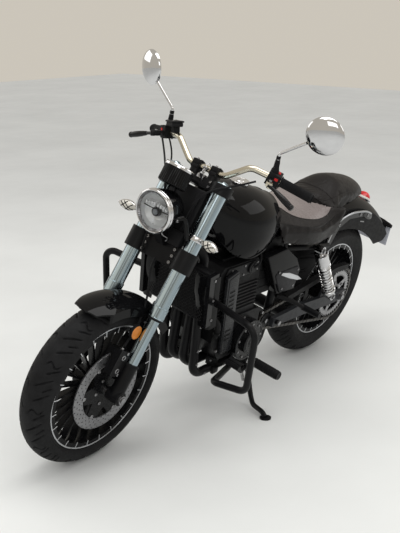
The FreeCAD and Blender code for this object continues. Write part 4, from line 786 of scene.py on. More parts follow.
def makeHeadlight():
    middle, radius = lamp["middle"], lamp["radius"]
    bm = bmesh.new()
    back = -lamp["depth"]
    lathe(bm, [(back, 0), (back + 1, 22), (back + 8, 40), (back + 26, 56), (-50, radius - 7), (-24, radius - 2.6),
               (-10, radius - 1.6), (-9, radius - 8)], middle, ahead, 72)
    for side in (1, -1):
        # an arm from the shell back to the fork
        tube(bm, curvePoints([middle + Vector((-38, side * (radius - 8), -12)), middle + Vector((-62, side * 84, -8)),
                              onFork(570, 30, side * 92)], 4), 9, 12)
    keep("headlightHousing", bm, "fork", "gloss_black", replaces=["headlight_bucket"])
    bm = bmesh.new()
    lathe(bm, [(-14, radius - 1.5), (-12, radius + 0.8), (-8, radius + 0.9), (-6, radius - 0.2), (-4, radius + 0.2),
               (-2, radius + 1.2), (2, radius + 0.8), (5, radius - 1.6), (6, radius - 4), (5, radius - 6)],
          middle, ahead, 96)
    keep("headlightRim", bm, "fork", "chrome")
    bm = bmesh.new()
    lathe(bm, [(5.2, radius - 5.8), (4.4, radius - 7), (-1, radius - 13), (-3, radius - 14), (-9, radius - 14)],
          middle, ahead, lamp["notches"] * 4, flute=lamp["notches"], dip=2.2, flatRows=(3, 4))
    keep("headlightNotches", bm, "fork", "steel", notchSteel, smooth=20)
    bm = bmesh.new()
    lathe(bm, [(-5, radius - 13.5), (-14, radius - 17), (-26, radius - 26), (-36, radius - 42), (-42, radius - 62),
               (-43, 0)], middle, ahead, lamp["facets"])
    for part in range(4):
        for side in (1, -1):
            roundBox(bm, middle + Vector((-20, side * (7 + part * 11), 20 - part * 1.5)), (10, 9, 12), None, 2, 1)
    keep("headlightBowl", bm, "fork", "chrome", bowlSilverAndPaintedReflection, smooth=4)
    bm = bmesh.new()
    lathe(bm, [(-40, 15), (-22, 15), (-18, 14), (-17, 11), (-19, 9)], middle + Vector((0, 0, -4)), ahead, 40)
    roundBox(bm, middle + Vector((-22, 0, 4)), (4, 108, 3.0), None, 1, 1)
    keep("headlightProjectorRim", bm, "fork", "black_plastic")
    bm = bmesh.new()
    lathe(bm, [(-20, 10.4), (-15, 9.4), (-12, 6), (-11, 0)], middle + Vector((0, 0, -4)), ahead, 32)
    keep("headlightProjector", bm, "fork", "clear_glass", projectorGlass)
    bm = bmesh.new()
    lathe(bm, [(0.5, radius - 12), (3.2, radius - 20), (6.2, radius - 34), (8.4, radius - 52), (9.4, 0)],
          middle - ahead * 3, ahead, 72)
    keep("headlightGlass", bm, "fork", "clear_glass", replaces=["headlight_lens"])
    bm = bmesh.new()
    # the stay under the lamp, with its small bright hardware
    for side in (1, -1):
        capBolt(bm, middle + Vector((-38, side * (radius - 2), -12)), left * side, 6, 5)
    tube(bm, curvePoints([middle + Vector((-42, 14, -72)), middle + Vector((-46, 20, -86)),
                          middle + Vector((-62, 30, -98)), middle + Vector((-66, 22, -112))], 5), 2.4, 8)
    roundBox(bm, middle + Vector((-40, 0, -76)), (26, 26, 6), None, 1.5, 1)
    capBolt(bm, middle + Vector((-40, 0, -80)), -up, 5, 4)
    keep("headlightHardware", bm, "fork", "steel")


# the bowl's pale, only partly metallic silver is its own colour and partly a painted reflection, lighting the bowl
# without a mirror's reflections
bowlSilverAndPaintedReflection = makeFinish("lampBowl", (0.86, 0.88, 0.90), 0.32, metallic=0.35, spread=0.05, wear=0.05, lift=0.2,
                        grain=180)
notchSteel = makeFinish("lampNotches", (0.17, 0.17, 0.175), 0.22, metallic=0.9, spread=0.06, lift=0.03)
projectorGlass = makeFinish("projectorGlass", (0.16, 0.18, 0.20), 0.05, wear=0.02, lift=0.02, coat=1.0)
makeHeadlight()

# Instrument: a fluted black drum with a chrome bezel and a dial facing the rider
gauge = {"low": 702, "high": 773, "ahead": 122, "radius": 51, "flutes": 40}


def makeGauge():
    middle = onFork(gauge["low"], gauge["ahead"])
    tall, radius = gauge["high"] - gauge["low"], gauge["radius"]
    bm = bmesh.new()
    lathe(bm, [(0, 0), (0, radius - 9), (3, radius - 3), (6, radius - 1), (tall - 14, radius - 1),
               (tall - 11, radius - 1.5), (tall - 11, radius - 8)], middle, forkUp, gauge["flutes"] * 4,
          flute=gauge["flutes"], dip=2.4, flatRows=(1, 2, 5, 6))
    keep("gaugeDrum", bm, "fork", "satin_black", finishes["gloss_black"], smooth=25, replaces=["gauge"])
    bm = bmesh.new()
    lathe(bm, [(tall - 12, radius - 1.5), (tall - 11, radius + 0.6), (tall - 4, radius + 0.6),
               (tall - 0.6, radius - 2), (tall - 0.2, radius - 5), (tall - 3, radius - 7.5)], middle, forkUp, 72)
    keep("gaugeBezel", bm, "fork", "chrome")
    bm = bmesh.new()
    lathe(bm, [(tall - 7, 0), (tall - 7, radius - 7)], middle, forkUp, 48)
    keep("gaugeFace", bm, "fork", "black_plastic")

    def addMark(out, reach, height, size, edge):
        # a flat bar on the dial that points away from its middle
        way = Matrix((out, forkUp.cross(out), forkUp)).transposed()
        roundBox(bm, middle + forkUp * height + out * reach, size, way, edge, 1)

    bm = bmesh.new()
    for step in range(37):
        turn = math.radians(-135 + 270 * step / 36)
        long, wide = (6, 1.1) if step % 4 == 0 else (3, 0.6)
        addMark(left * math.sin(turn) + forkAhead * math.cos(turn), radius - 12 - long / 2, tall - 6.7,
                (long, wide, 0.4), 0)
    addMark((left * 0.6 - forkAhead * 0.6).normalized(), 12, tall - 5.6, (30, 1.4, 0.6), 0.2)
    lathe(bm, [(tall - 6.4, 3.5), (tall - 4.6, 3.5), (tall - 4.6, 0)], middle, forkUp, 16)
    keep("gaugeMarks", bm, "fork", "plate_grey", whiteMark)
    bm = bmesh.new()
    lathe(bm, [(tall - 2.8, radius - 7), (tall - 1.2, radius - 18), (tall - 0.6, 0)], middle, forkUp, 48)
    keep("gaugeGlass", bm, "fork", "clear_glass")


makeGauge()
print("headlight and instrument made")

# Handlebar: ribbed grips, bar ends, switches, levers, mirror boots, the brake reservoir and the mirrors
barMiddle = onFork(815, -20)
barRoute = [(0, 0, 0), (0, 0, 77), (-22, 60, 158), (-52, 46, 232), (-115, 10, 355)]
barLine = [barMiddle + Vector((x, y, z)) for x, z, y in barRoute]
gripWay = (barLine[-1] - barLine[-2]).normalized()
gripShape = {"radius": 17, "long": 118, "ribs": 26, "housing": 44}
gripStart = barLine[-1] - gripWay * gripShape["long"]
housingMiddle = gripStart - gripWay * (gripShape["housing"] / 2 + 1)


gripTurn = left.rotation_difference(gripWay).to_matrix()


def makeGrip(side, word):
    way, radius = sided(gripWay, side), gripShape["radius"]
    bm = bmesh.new()
    lathe(bm, [(0, 12), (0, radius + 3), (3, radius + 3.4), (5, radius), (8, radius - 1), (108, radius - 1),
               (112, radius), (116, radius - 0.5), (118, radius - 4), (118, 8)], sided(gripStart, side), way,
          gripShape["ribs"] * 4, flute=gripShape["ribs"], dip=1.8, flatRows=(0, 1, 2, 3, 6, 7, 8, 9))
    keep("grip" + word, bm, "fork", "rubber", replaces=["hand_grips"])
    bm = bmesh.new()
    lathe(bm, [(118, 0), (118, 13), (119, 15), (122, 14.6), (122, 0)], sided(gripStart, side), way, 28)
    keep("barEnd" + word, bm, "fork", "satin_black")


def makeSwitches(side, word, middle, turn):
    def spot(x, y, z):
        return middle + turn @ Vector((x, y * side, z))

    # the housing with its seam, screws and buttons
    bm = bmesh.new()
    roundBox(bm, middle, (47.5, 44, 45.5), turn, 7, 3)
    roundBox(bm, middle, (49, 2, 47), turn, 0.8, 1)
    keep("switchShell" + word, bm, "fork", "black_plastic")
    bm = bmesh.new()
    for y in (12, -12):
        capBolt(bm, spot(-8, y, -23), -up, 3.5, 2)
    capBolt(bm, spot(50, -6, 5), up, 5, 4)
    keep("switchScrews" + word, bm, "fork", "steel")
    bm = bmesh.new()
    roundBox(bm, spot(-24, 8, 4), (5, 12, 9), turn, 1.5, 2)
    roundBox(bm, spot(-24, -9, 3), (4, 10, 14), turn, 1.5, 2)
    lathe(bm, [(0, 6), (3, 6), (4, 5), (4, 0)], spot(-23, 8, -12), turn @ -ahead, 18)
    keep("switchButtons" + word, bm, "fork", "black_plastic")
    bm = bmesh.new()
    roundBox(bm, spot(-4, 6, 23.5), (16, 15, 5), turn, 2, 2)
    roundBox(bm, spot(22, 8, 8), (5, 13, 10), turn, 1.8, 2)
    keep("redSwitch" + word, bm, "fork", "red_lens", redButton)


def makeLever(side, word, middle, turn):
    tip = sided(barLine[-1] + Vector(lever["tip"]), side)
    back = sided(housingMiddle + gripTurn @ Vector(lever["root"]), side)
    way = (tip - back).normalized()
    reach = (tip - back).length - 8
    bm = bmesh.new()
    tube(bm, curvePoints([back + way * reach * share for share in (0, 0.25, 0.5, 0.75, 1)], 4),
         [7.6 + 3.4 * math.sin(k / 16 * math.pi * 0.8) for k in range(17)], 14)
    lathe(bm, [(-9, 7), (-5, 10), (0, 11), (4, 9.6), (6, 6), (6.6, 0)], tip - way * 6.8, way, 18)
    keep("leverBlade" + word, bm, "fork", "shiny_plastic")
    bm = bmesh.new()
    roundBox(bm, middle + turn @ Vector((52, -6 * side, -4)), (30, 20, 15), turn, 4, 2)
    lathe(bm, [(-10, 0), (-10, 7), (-8, 8), (8, 8), (10, 7), (10, 0)], middle + turn @ Vector((62, -2 * side, -4)),
          turn @ up, 20)
    keep("leverPerch" + word, bm, "fork", "bar_silver" if side > 0 else "black_plastic")


def makeMirrorBoot(word, start):
    bm = bmesh.new()
    lathe(bm, [(0, 13), (8, 12), (20, 9.5), (34, 9), (42, 7.5), (42, 0)], start, up, 24)
    lathe(bm, [(44, 5.5), (46, 8.4), (54, 8.4), (56, 6.5), (56, 5)], start, up, 6)
    keep("mirrorBoot" + word, bm, "fork", "rubber")


lever = {"tip": (118, 6, -14), "root": (74.5, 24, -7)}
for side, word in sides:
    middle, turn = sided(housingMiddle, side), gripTurn if side > 0 else mirrored @ gripTurn @ mirrored
    makeGrip(side, word)
    makeSwitches(side, word, middle, turn)
    makeLever(side, word, middle, turn)
    makeMirrorBoot(word, middle + Vector((2, 0, 22)))


def makeReservoir():
    seat = barMiddle + Vector((-36, 192, 54))
    middle = sided(seat + Vector((11, 0, 38)), -1)
    turn = mirrored @ gripTurn @ mirrored
    bm = bmesh.new()
    roundBox(bm, middle + turn @ Vector((0, 0, 8)), (46, 62, 6), turn, 2.4, 2)
    roundBox(bm, middle + turn @ Vector((0, 0, -2)), (42, 58, 16), turn, 6, 3)
    roundBox(bm, middle + turn @ Vector((-4, 0, -20)), (24, 26, 26), turn, 5, 3)
    keep("reservoirCup", bm, "fork", "black_plastic", replaces=["brake_reservoir"])
    bm = bmesh.new()
    for part in (-1, 1):
        for other in (-1, 1):
            capBolt(bm, middle + turn @ Vector((part * 16, other * 24, 10.8)), turn @ up, 3.2, 1.6)
    lathe(bm, [(0, 9), (2, 9), (2.5, 8), (2.5, 0)], middle + turn @ Vector((-20.6, 0, -2)), turn @ -ahead, 24)
    keep("reservoirScrews", bm, "fork", "steel")


makeReservoir()
mirror = {"middle": barMiddle + Vector((-60, 372, 237)), "way": Vector((-1, -0.33, 0.1)).normalized(),
          "radius": 63}


def makeMirrors():
    for side, word in sides:
        middle, way = sided(mirror["middle"], side), sided(mirror["way"], side)
        radius = mirror["radius"]
        bm = bmesh.new()
        lathe(bm, [(-19.6, 0), (-19, 12), (-17, 26), (-13.4, 40), (-8.5, 51.5), (-4, 58), (0, 61.5), (3, 62.8),
                   (6, 62.6), (7, 61), (6.4, radius - 4.5), (4, radius - 5)], middle, way, 72)
        keep("mirrorShell" + word, bm, "fork", "chrome", replaces=["mirror_heads"])
        bm = bmesh.new()
        lathe(bm, [(4.4, radius - 4), (5, radius - 20), (5.3, 0)], middle, way, 72)
        keep("mirrorFace" + word, bm, "fork", "chrome", mirrorGlass)


makeMirrors()

# Front indicators: silver ovals whose clear lens is crossed by dark bars
indicator = {"middle": onFork(585, 33, 184), "long": 42, "wide": 17.5,
             "way": Vector((0.2, 1, 0)).normalized()}


def makeIndicators():
    for side, word in sides:
        middle, way = sided(indicator["middle"], side), sided(indicator["way"], side)
        face = (ahead - way * ahead.dot(way)).normalized()
        tall = way.cross(face).normalized()
        if tall.z < 0:
            tall = -tall

        def skin(share, angle, grow):
            # a spot on the leaf shaped body, by its share along the leaf and the angle up from its front
            size = indicator["wide"] * (1 - abs(share) ** 1.9) + grow
            turn = math.radians(angle)
            return middle + way * share * indicator["long"] + (face * math.cos(turn) + tall * math.sin(turn)) * size

        bm = bmesh.new()
        profile = [(share * indicator["long"], indicator["wide"] * (1 - abs(share) ** 1.9) + 0.4)
                   for share in [k / 14 - 1 for k in range(29)]]
        lathe(bm, [(profile[0][0] - 0.4, 0)] + profile + [(profile[-1][0] + 0.4, 0)], middle, way, 36)
        tube(bm, [sided(onFork(585, 12, 128), side), middle], 6.4, 16)
        lathe(bm, [(-9, 28), (-9, 31), (-7, 32), (7, 32), (9, 31), (9, 28)], onFork(585, 0, side * 105), forkUp, 40)
        keep("indicatorBody" + word, bm, "fork", "chrome", replaces=["front_indicators"])
        bm = bmesh.new()
        grid = [[bm.verts.new(skin(-0.84 + 1.68 * k / 24, -66 + 132 * row / 12, 1.2)) for k in range(25)]
                for row in range(13)]
        joinRows(bm, grid, looped=False)
        keep("indicatorLens" + word, bm, "fork", "clear_glass", lensWhite)
        bm = bmesh.new()
        for start, end in (((-0.62, -44), (0.30, 50)), ((-0.30, -54), (0.62, 40)), ((-0.56, 44), (0.1, -56)),
                           ((-0.05, 58), (0.58, -40))):
            tube(bm, [skin(start[0] + (end[0] - start[0]) * k / 8, start[1] + (end[1] - start[1]) * k / 8, 1.4)
                      for k in range(9)], 1.7, 6)
        keep("indicatorBars" + word, bm, "fork", "black_plastic")
        bm = bmesh.new()
        tube(bm, [skin(0.86 * math.cos(turn), 70 * math.sin(turn), 1.0) for turn in turnsOf(48)], 1.4, 8, True)
        keep("indicatorRim" + word, bm, "fork", "chrome")


lensWhite = makeFinish("indicatorLens", (0.60, 0.57, 0.50), 0.12, wear=0.03, lift=0.4, grain=260, cells=True,
                       coat=0.8)
makeIndicators()
print("controls, mirrors and indicators made")

# Cables and hoses that turn with the fork: each has its radius and the places it runs through
def nearGrip(side, x, y, z):
    return sided(housingMiddle + Vector((x, y, z)), side)


forkCables = {
    "clutchCable": (3.4, (nearGrip(1, 72, -20, -8), nearGrip(1, 92, -70, -40), onFork(740, 70, 95),
                          onFork(660, 58, 62), onFork(600, 30, 54), onFork(560, 18, 40))),
    "brakeHose": (3.4, (nearGrip(-1, 62, -20, 6), nearGrip(-1, 84, -60, -30), onFork(750, 60, -96),
                        onFork(690, 44, -66), onFork(620, 34, -60), onFork(540, 32, -62), onFork(490, 30, -58),
                        onFork(462, 24, -50))),
    "throttleCable": (3.0, (nearGrip(-1, 18, -22, -14), nearGrip(-1, 60, -90, -50), onFork(730, 62, -84),
                            onFork(640, 50, -40), onFork(590, 24, -30))),
    "caliperHose": (3.6, (onFork(470, 40, 20), onFork(440, 52, 26), onFork(400, 50, 44), onFork(350, 40, 62),
                          onFork(280, 24, 70), onFork(215, 32, 74), onFork(165, 56, 84))),
}
for name, (radius, route) in forkCables.items():
    cable(name, route, radius, "fork")


# Brake caliper: a rounded body over the disc's edge, with its bolts and hose fitting
def makeCaliper():
    bm = bmesh.new()
    for side, wide in ((83, 30), (50, 12)):
        roundBox(bm, onFork(108, 52, side), (55, wide, 93), forkTurn, 6, 3)
        for at in (82, 130):
            lathe(bm, [(-wide / 2 - 1, 0), (-wide / 2 - 1, 16), (wide / 2 + 1, 16), (wide / 2 + 1, 0)],
                  onFork(at, 50, side), left, 28)
    keep("caliperBody", bm, "fork", "satin_black")
    bm = bmesh.new()
    for at in (70, 148):
        hexBolt(bm, onFork(at, 40, 98), left, 6, 5)
    for at in (82, 130):
        lathe(bm, [(0, 10), (2, 9), (2, 6), (0.6, 5), (0.6, 0)], onFork(at, 50, 99), left, 20)
    lathe(bm, [(0, 6), (9, 6), (10, 5), (10, 0)], onFork(150, 60, 84), forkUp, 14)
    keep("caliperBolts", bm, "fork", "steel")


makeCaliper()
reflector = {"at": (223, 42), "radius": 24, "fenderBolts": (215, 236, 262), "fenderHalf": 79.9}


def makeReflectorCases():
    reach = [abs((unstance @ vert.co).y) for vert in frame["nodes"]["front_reflectors"].data.vertices]
    radius, wide = reflector["radius"], max(reach) - min(reach)
    bm = bmesh.new()
    for side in (1, -1):
        lathe(bm, [(-2, 0), (-2, radius + 1), (-0.5, radius + 2.2), (wide, radius + 2.2), (wide + 1, radius + 1.4),
                   (wide + 1, radius + 0.2), (0.1, radius + 0.2), (-0.3, 0)],
              onFork(*reflector["at"], side * min(reach)), left * side, 48)
    keep("reflectorCases", bm, "fork", "black_plastic")
    bm = bmesh.new()
    for side in (1, -1):
        for at in reflector["fenderBolts"]:
            capBolt(bm, onFork(at, 6, side * reflector["fenderHalf"]), left * side, 5, 3)
    keep("fenderBolts", bm, "fork", "steel")


makeReflectorCases()
print("front end done")

# Tank: a welded lip along its lower edge, and a filler ring
tankEdge = [(985, 47.6, 812), (930, 99, 742), (870, 122, 708), (810, 133.7, 694), (735, 126.3, 700),
            (690, 114.8, 708), (632, 92.5, 727)]
tankCap = {"at": (793.4, 0, 942), "radius": 34}


def makeTankTrim():
    for side, word in sides:
        bm = bmesh.new()
        line = curvePoints([sided(point, side) for point in tankEdge], 6)
        tube(bm, [point - up * 0.6 for point in line], 3.0, 8)
        keep("tankLip" + word, bm, "chassis", "gloss_black")
    bm = bmesh.new()
    at = Vector(tankCap["at"])
    lathe(bm, [(-4, 35.5), (-1, 35.5), (0.4, 34), (0.4, 29), (-0.6, 28), (-0.6, 17), (0.8, 16), (2.6, 14), (2.6, 0)],
          at, up, 56)
    roundBox(bm, at + Vector((0, 0, 2.4)), (24, 9, 4), None, 1.5, 2)
    keep("tankCapRing", bm, "chassis", "chrome")


makeTankTrim()

# Seats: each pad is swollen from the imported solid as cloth, then gets its welts and stitches
swell = {"frames": 20, "tension": 18, "bending": 1.2, "softenRounds": 8, "blend": 130}
pads = {
    "rider_seat": {"name": "riderPad", "voxel": 0.0055, "sink": 0.004, "pressure": 3.2, "cap": 0.007, "fill": 0.75,
                   "front": 900, "draw": 1, "drop": 0},
    "pillion_seat": {"name": "pillionPad", "voxel": 0.0055, "sink": 0.005, "pressure": 4.0, "cap": 0.008, "fill": 0.7,
                     "front": 140, "draw": 0.9, "drop": 26},
}


def makePad(node, size):
    mesh = frame["nodes"][node].data.copy()
    piece = bpy.data.objects.new(size["name"], mesh)
    scene.collection.objects.link(piece)
    mesh.materials.clear()
    mesh.materials.append(finishes["seat_leather"])
    remesh = piece.modifiers.new("evenMesh", "REMESH")
    remesh.mode = "VOXEL"
    remesh.voxel_size = size["voxel"]
    soften = piece.modifiers.new("soften", "SMOOTH")
    soften.factor, soften.iterations = 0.5, swell["softenRounds"]
    shaped = bpy.data.meshes.new_from_object(piece.evaluated_get(bpy.context.evaluated_depsgraph_get()))
    piece.modifiers.clear()
    piece.data = shaped
    for vert in shaped.vertices:
        vert.co -= vert.normal * size["sink"]
        spot = unstance @ vert.co
        if spot.x > size["front"]:
            share = min(1, (spot.x - size["front"]) / swell["blend"])
            spot.x = size["front"] + (spot.x - size["front"]) * size["draw"]
            spot.z -= size["drop"] * share * share * (3 - 2 * share)
            vert.co = stance @ spot
    start = [vert.co.copy() for vert in shaped.vertices]
    cloth = piece.modifiers.new("swell", "CLOTH")
    cloth.settings.use_pressure = True
    cloth.settings.uniform_pressure_force = size["pressure"]
    cloth.settings.effector_weights.gravity = 0
    cloth.settings.tension_stiffness = swell["tension"]
    cloth.settings.bending_stiffness = swell["bending"]
    for number in range(1, swell["frames"] + 1):
        scene.frame_set(number)
    swollen = bpy.data.meshes.new_from_object(piece.evaluated_get(bpy.context.evaluated_depsgraph_get()))
    piece.modifiers.clear()
    scene.frame_set(1)
    for vert, first in zip(swollen.vertices, start):
        step = vert.co - first
        if step.length > size["cap"]:
            vert.co = first + step.normalized() * size["cap"]
    piece.data = swollen
    bm = bmesh.new()
    bm.from_mesh(piece.data)
    bmesh.ops.smooth_vert(bm, verts=bm.verts[:], factor=0.5, use_axis_x=True, use_axis_y=True, use_axis_z=True)
    bm.to_mesh(piece.data)
    bm.free()
    piece.data.materials.clear()
    piece.data.materials.append(finishes["seat_leather"])
    piece.data.shade_smooth()
    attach(piece, "chassis")
    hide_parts(node)
    return piece


padPieces = {node: makePad(node, size) for node, size in pads.items()}
print("pads swollen")


def padSurface(piece):
    flat = bmesh.new()
    flat.from_mesh(piece.data)
    flat.transform(unstance)
    tree = BVHTree.FromBMesh(flat)
    flat.free()
    return tree


def ontoPad(tree, spots, way=None, lift=0.4):
    # drops a line onto the pad, from above or along the way
    found = []
    for spot in spots:
        place, normal = tree.ray_cast(spot, way or -up)[:2]
        if place is not None:
            found.append((place + normal * lift, normal))
    return found


# The rider's panel: its left edge from front to back, with a welt along it and stitches outside
panel = {"edge": [(612, 0), (606, 48), (576, 88), (520, 113), (455, 128), (390, 134), (322, 132), (270, 112),
                  (246, 62), (240, 0)],
         "middle": 455, "stitchGrow": 1.035, "above": 1000, "lowest": 770}


def makeSeatPanel():
    piece = padPieces["rider_seat"]
    tree = padSurface(piece)
    outline = panel["edge"] + [(x, -y) for x, y in reversed(panel["edge"][1:-1])]
    line = curvePoints([Vector((x, y, panel["above"])) for x, y in outline + outline[:1]], 10)[:-1]
    seam = ontoPad(tree, line, lift=0.2)
    bm = bmesh.new()
    tube(bm, [place for place, normal in seam], 1.5, 8, True)
    keep("riderPanelWelt", bm, "chassis", "seat_leather")
    # faces inside the panel that face upward take a paler, smoother hide; the paler colour is partly the panel's own
    # leather and partly a painted reflection of the light on the seat's top
    mesh = piece.data
    mesh.materials.append(panelLeatherAndSheen)
    ring = [(point.x, point.y) for point in line]
    for face in mesh.polygons:
        spot = unstance @ face.center
        if spot.z < panel["lowest"] or face.normal.z < 0.2:
            continue
        inside = False
        for (ax, ay), (bx, by) in zip(ring, ring[1:] + ring[:1]):
            if (ay > spot.y) != (by > spot.y) and spot.x < (bx - ax) * (spot.y - ay) / (by - ay) + ax:
                inside = not inside
        if inside:
            face.material_index = 1
    stitches = bmesh.new()
    middle, grow = panel["middle"], panel["stitchGrow"]
    wide = [Vector((middle + (point.x - middle) * grow, point.y * grow, panel["above"])) for point in line]
    addStitches(stitches, ontoPad(tree, wide, lift=0.25), True)
    keep("riderPanelStitches", stitches, "chassis", "seat_leather", threadGrey)


def addStitches(bm, spots, closed, long=4.2, gap=3.4):
    places = [place for place, normal in spots]
    if closed:
        places.append(places[0])
    carried = 0.0
    for a, b in zip(places, places[1:]):
        run = (b - a).length
        while carried < run:
            at = a.lerp(b, carried / run)
            way = (b - a).normalized()
            tube(bm, [at, at + way * long * 0.5, at + way * long], [0.35, 0.6, 0.35], 5)
            carried += long + gap
        carried -= run


makeSeatPanel()


def makeSeatSeams():
    rider, pillion = padSurface(padPieces["rider_seat"]), padSurface(padPieces["pillion_seat"])
    welts, stitches = bmesh.new(), bmesh.new()
    for side in (1, -1):
        # along the rider seat's side, under the brow
        spots = ontoPad(rider, [Vector((x, side * 400, z)) for x, z in (
            (612, 782), (560, 768), (500, 752), (440, 738), (380, 740), (330, 752), (285, 768))], -left * side, 0.3)
        line = curvePoints([place for place, normal in spots], 6)
        tube(welts, line, 1.2, 8)
        addStitches(stitches, [(place - up * 4.5 + left * side * 0.2, None) for place in line], False)
    keep("seatSideWelts", welts, "chassis", "seat_leather")
    keep("seatSideStitches", stitches, "chassis", "seat_leather", threadGrey)
    welts, stitches = bmesh.new(), bmesh.new()
    # across the pillion near its front, and along its sides
    for shift, sewn in ((0, False), (8, True)):
        found = ontoPad(pillion, [Vector((246 - shift - 10 * (part / 16 - 1) ** 2, 108 * (part / 16 - 1), 1000))
                                  for part in range(33)], lift=0.2)
        if sewn:
            addStitches(stitches, found, False)
        else:
            tube(welts, [place for place, normal in found], 1.3, 8)
    for side in (1, -1):
        line = [Vector((x, side * 300, z)) for x, z in ((280, 806), (200, 822), (100, 818), (0, 800), (-90, 770))]
        path = curvePoints([place for place, normal in ontoPad(pillion, line, -left * side, 0.2)], 8)
        tube(welts, path, 1.2, 8)
        addStitches(stitches, [(place - up * 4.5, None) for place in path], False)
    keep("pillionWelts", welts, "chassis", "seat_leather")
    keep("pillionStitches", stitches, "chassis", "seat_leather", threadGrey)


makeSeatSeams()
print("seats sewn")

# Rear fender: a matte valance under the glossy crown, the struts' pointed ends and a bright strip
strut = {"out": 110.3, "bolts": ((-92, 689), (-20, 706), (150, 688)), "end": (-92, 688), "endLong": 46,
         "endTall": 17, "bead": ((209, 620), (165, 699), (66, 725), (-60, 713), (-122, 692)), "beadRadius": 4.2,
         "strip": [(-98, 655), (-60, 664), (-62, 659), (-99, 650)]}
fender = {"middle": Vector((129, 0, 17)), "radius": 772, "crown": 45, "sideFrom": 90}


def makeRearTrim():
    bm = bmesh.new()
    for side in (1, -1):
        for x, z in strut["bolts"]:
            capBolt(bm, Vector((x, side * (strut["out"] + 0.3), z)), left * side, 6.5, 4.5)
    keep("strutBolts", bm, "chassis", "steel")
    # a leaf shaped end, leaning with the fender
    oval = []
    for turn in turnsOf(40):
        x = strut["endLong"] * math.cos(turn)
        z = strut["endTall"] * math.sin(turn) * (1 - 0.35 * math.cos(turn))
        oval.append((strut["end"][0] + x * 0.97 + z * 0.25, strut["end"][1] + z + x * 0.26))
    bm = bmesh.new()
    for side in (1, -1):
        prism(bm, oval, side * 107, side * (strut["out"] + 1.4), 1.2, 2)
    keep("strutEnds", bm, "chassis", "shiny_plastic")
    # the strut's upper edge catches the light as a narrow rolled bead
    # a pale metal bead along the strut's upper edge is a painted highlight, standing in for the light caught on the
    # glossy black strut
    bm = bmesh.new()
    for side in (1, -1):
        tube(bm, curvePoints([Vector((x, side * strut["out"], z)) for x, z in strut["bead"]], 8),
             strut["beadRadius"], 10)
    keep("strutHighlightBeads", bm, "chassis", "shiny_plastic", strutPaintedHighlight)
    bm = bmesh.new()
    for side in (1, -1):
        prism(bm, strut["strip"], side * 98.2, side * 99.4, 0.4, 1)
    keep("valanceStrip", bm, "chassis", "steel")


# pale metal for the strut bead: a painted highlight on the black strut
strutPaintedHighlight = makeFinish("strutPaintedHighlight", (0.42, 0.43, 0.45), 0.22, metallic=0.9, spread=0.08, lift=0.03)
valanceMatte = makeFinish("valanceMatte", (0.006, 0.006, 0.0065), 0.46, wear=0.08, lift=0.2, grain=1500, shine=0.06)


def paintFender():
    # faces of the rear fender's sides below the struts take the matte finish
    mesh = frame["nodes"]["rear_fender"].data
    mesh.materials.append(valanceMatte)
    for face in mesh.polygons:
        spot = unstance @ face.center
        radius = math.hypot(spot.x - fender["middle"].x, spot.z - fender["middle"].z)
        if radius < fender["radius"] - fender["crown"] and abs(spot.y) > fender["sideFrom"]:
            face.material_index = 1


paintFender()
makeRearTrim()


# Tail light: a small dome, red above and clear below, on a grey base
tail = {"lean": -27.5, "seat": 772.3, "long": 44, "wide": 64, "tall": 36, "clearFrom": 0.12, "redFrom": 0.34,
        "rings": 13, "steps": 48}


def makeTailLight():
    turn = Matrix.Rotation(math.radians(tail["lean"]), 3, "Y")
    seat = fender["middle"] + turn @ Vector((0, 0, tail["seat"]))
    clearFrom, redFrom = tail["clearFrom"], tail["redFrom"]
    for name, slot, finish, low, high in (("tailLightRed", "red_lens", None, redFrom, 1.0),
                                          ("tailLightClear", "clear_glass", lensWhite, clearFrom, redFrom)):
        bm = bmesh.new()
        rows = []
        for ring in range(tail["rings"]):
            share = low + (high - low) * ring / (tail["rings"] - 1)
            width = (1 - ((share - clearFrom) / (1 - clearFrom)) ** 2.6) ** 0.5 if share > clearFrom else 1
            row = []
            for angle in turnsOf(tail["steps"]):
                c, s = math.cos(angle), math.sin(angle)
                grow = 1 / (abs(c) ** 3 + abs(s) ** 3) ** (1 / 3)
                x = c * grow * tail["long"] / 2 * width * 0.96
                y = s * grow * tail["wide"] / 2 * width * 0.96
                row.append(bm.verts.new(seat + turn @ Vector((x, y, share * tail["tall"] * 0.985))))
            rows.append(row)
        joinRows(bm, rows)
        bm.faces.new(rows[-1])
        keep(name, bm, "chassis", slot, finish, replaces=["tail_light"] if slot == "red_lens" else ())
    bm = bmesh.new()
    roundBox(bm, seat + turn @ Vector((0, 0, 2.6)), (tail["long"], tail["wide"], 5), turn, 2, 2)
    for part in (-1, 1):
        capBolt(bm, seat + turn @ Vector((-21, part * 20, 2.6)), turn @ -ahead, 2.4, 1)
    keep("tailLightBase", bm, "chassis", "grey_alloy", greyBase)


greyBase = makeFinish("lampBase", (0.30, 0.30, 0.31), 0.4, metallic=0.4, lift=0.1)
makeTailLight()


# Number plate: a raised border, screws, and the lip above it
plateTrim = {"inset": 9, "corner": 5, "screwSide": 50, "screwUp": 12, "lipWide": 1.09, "lipBulge": 24}


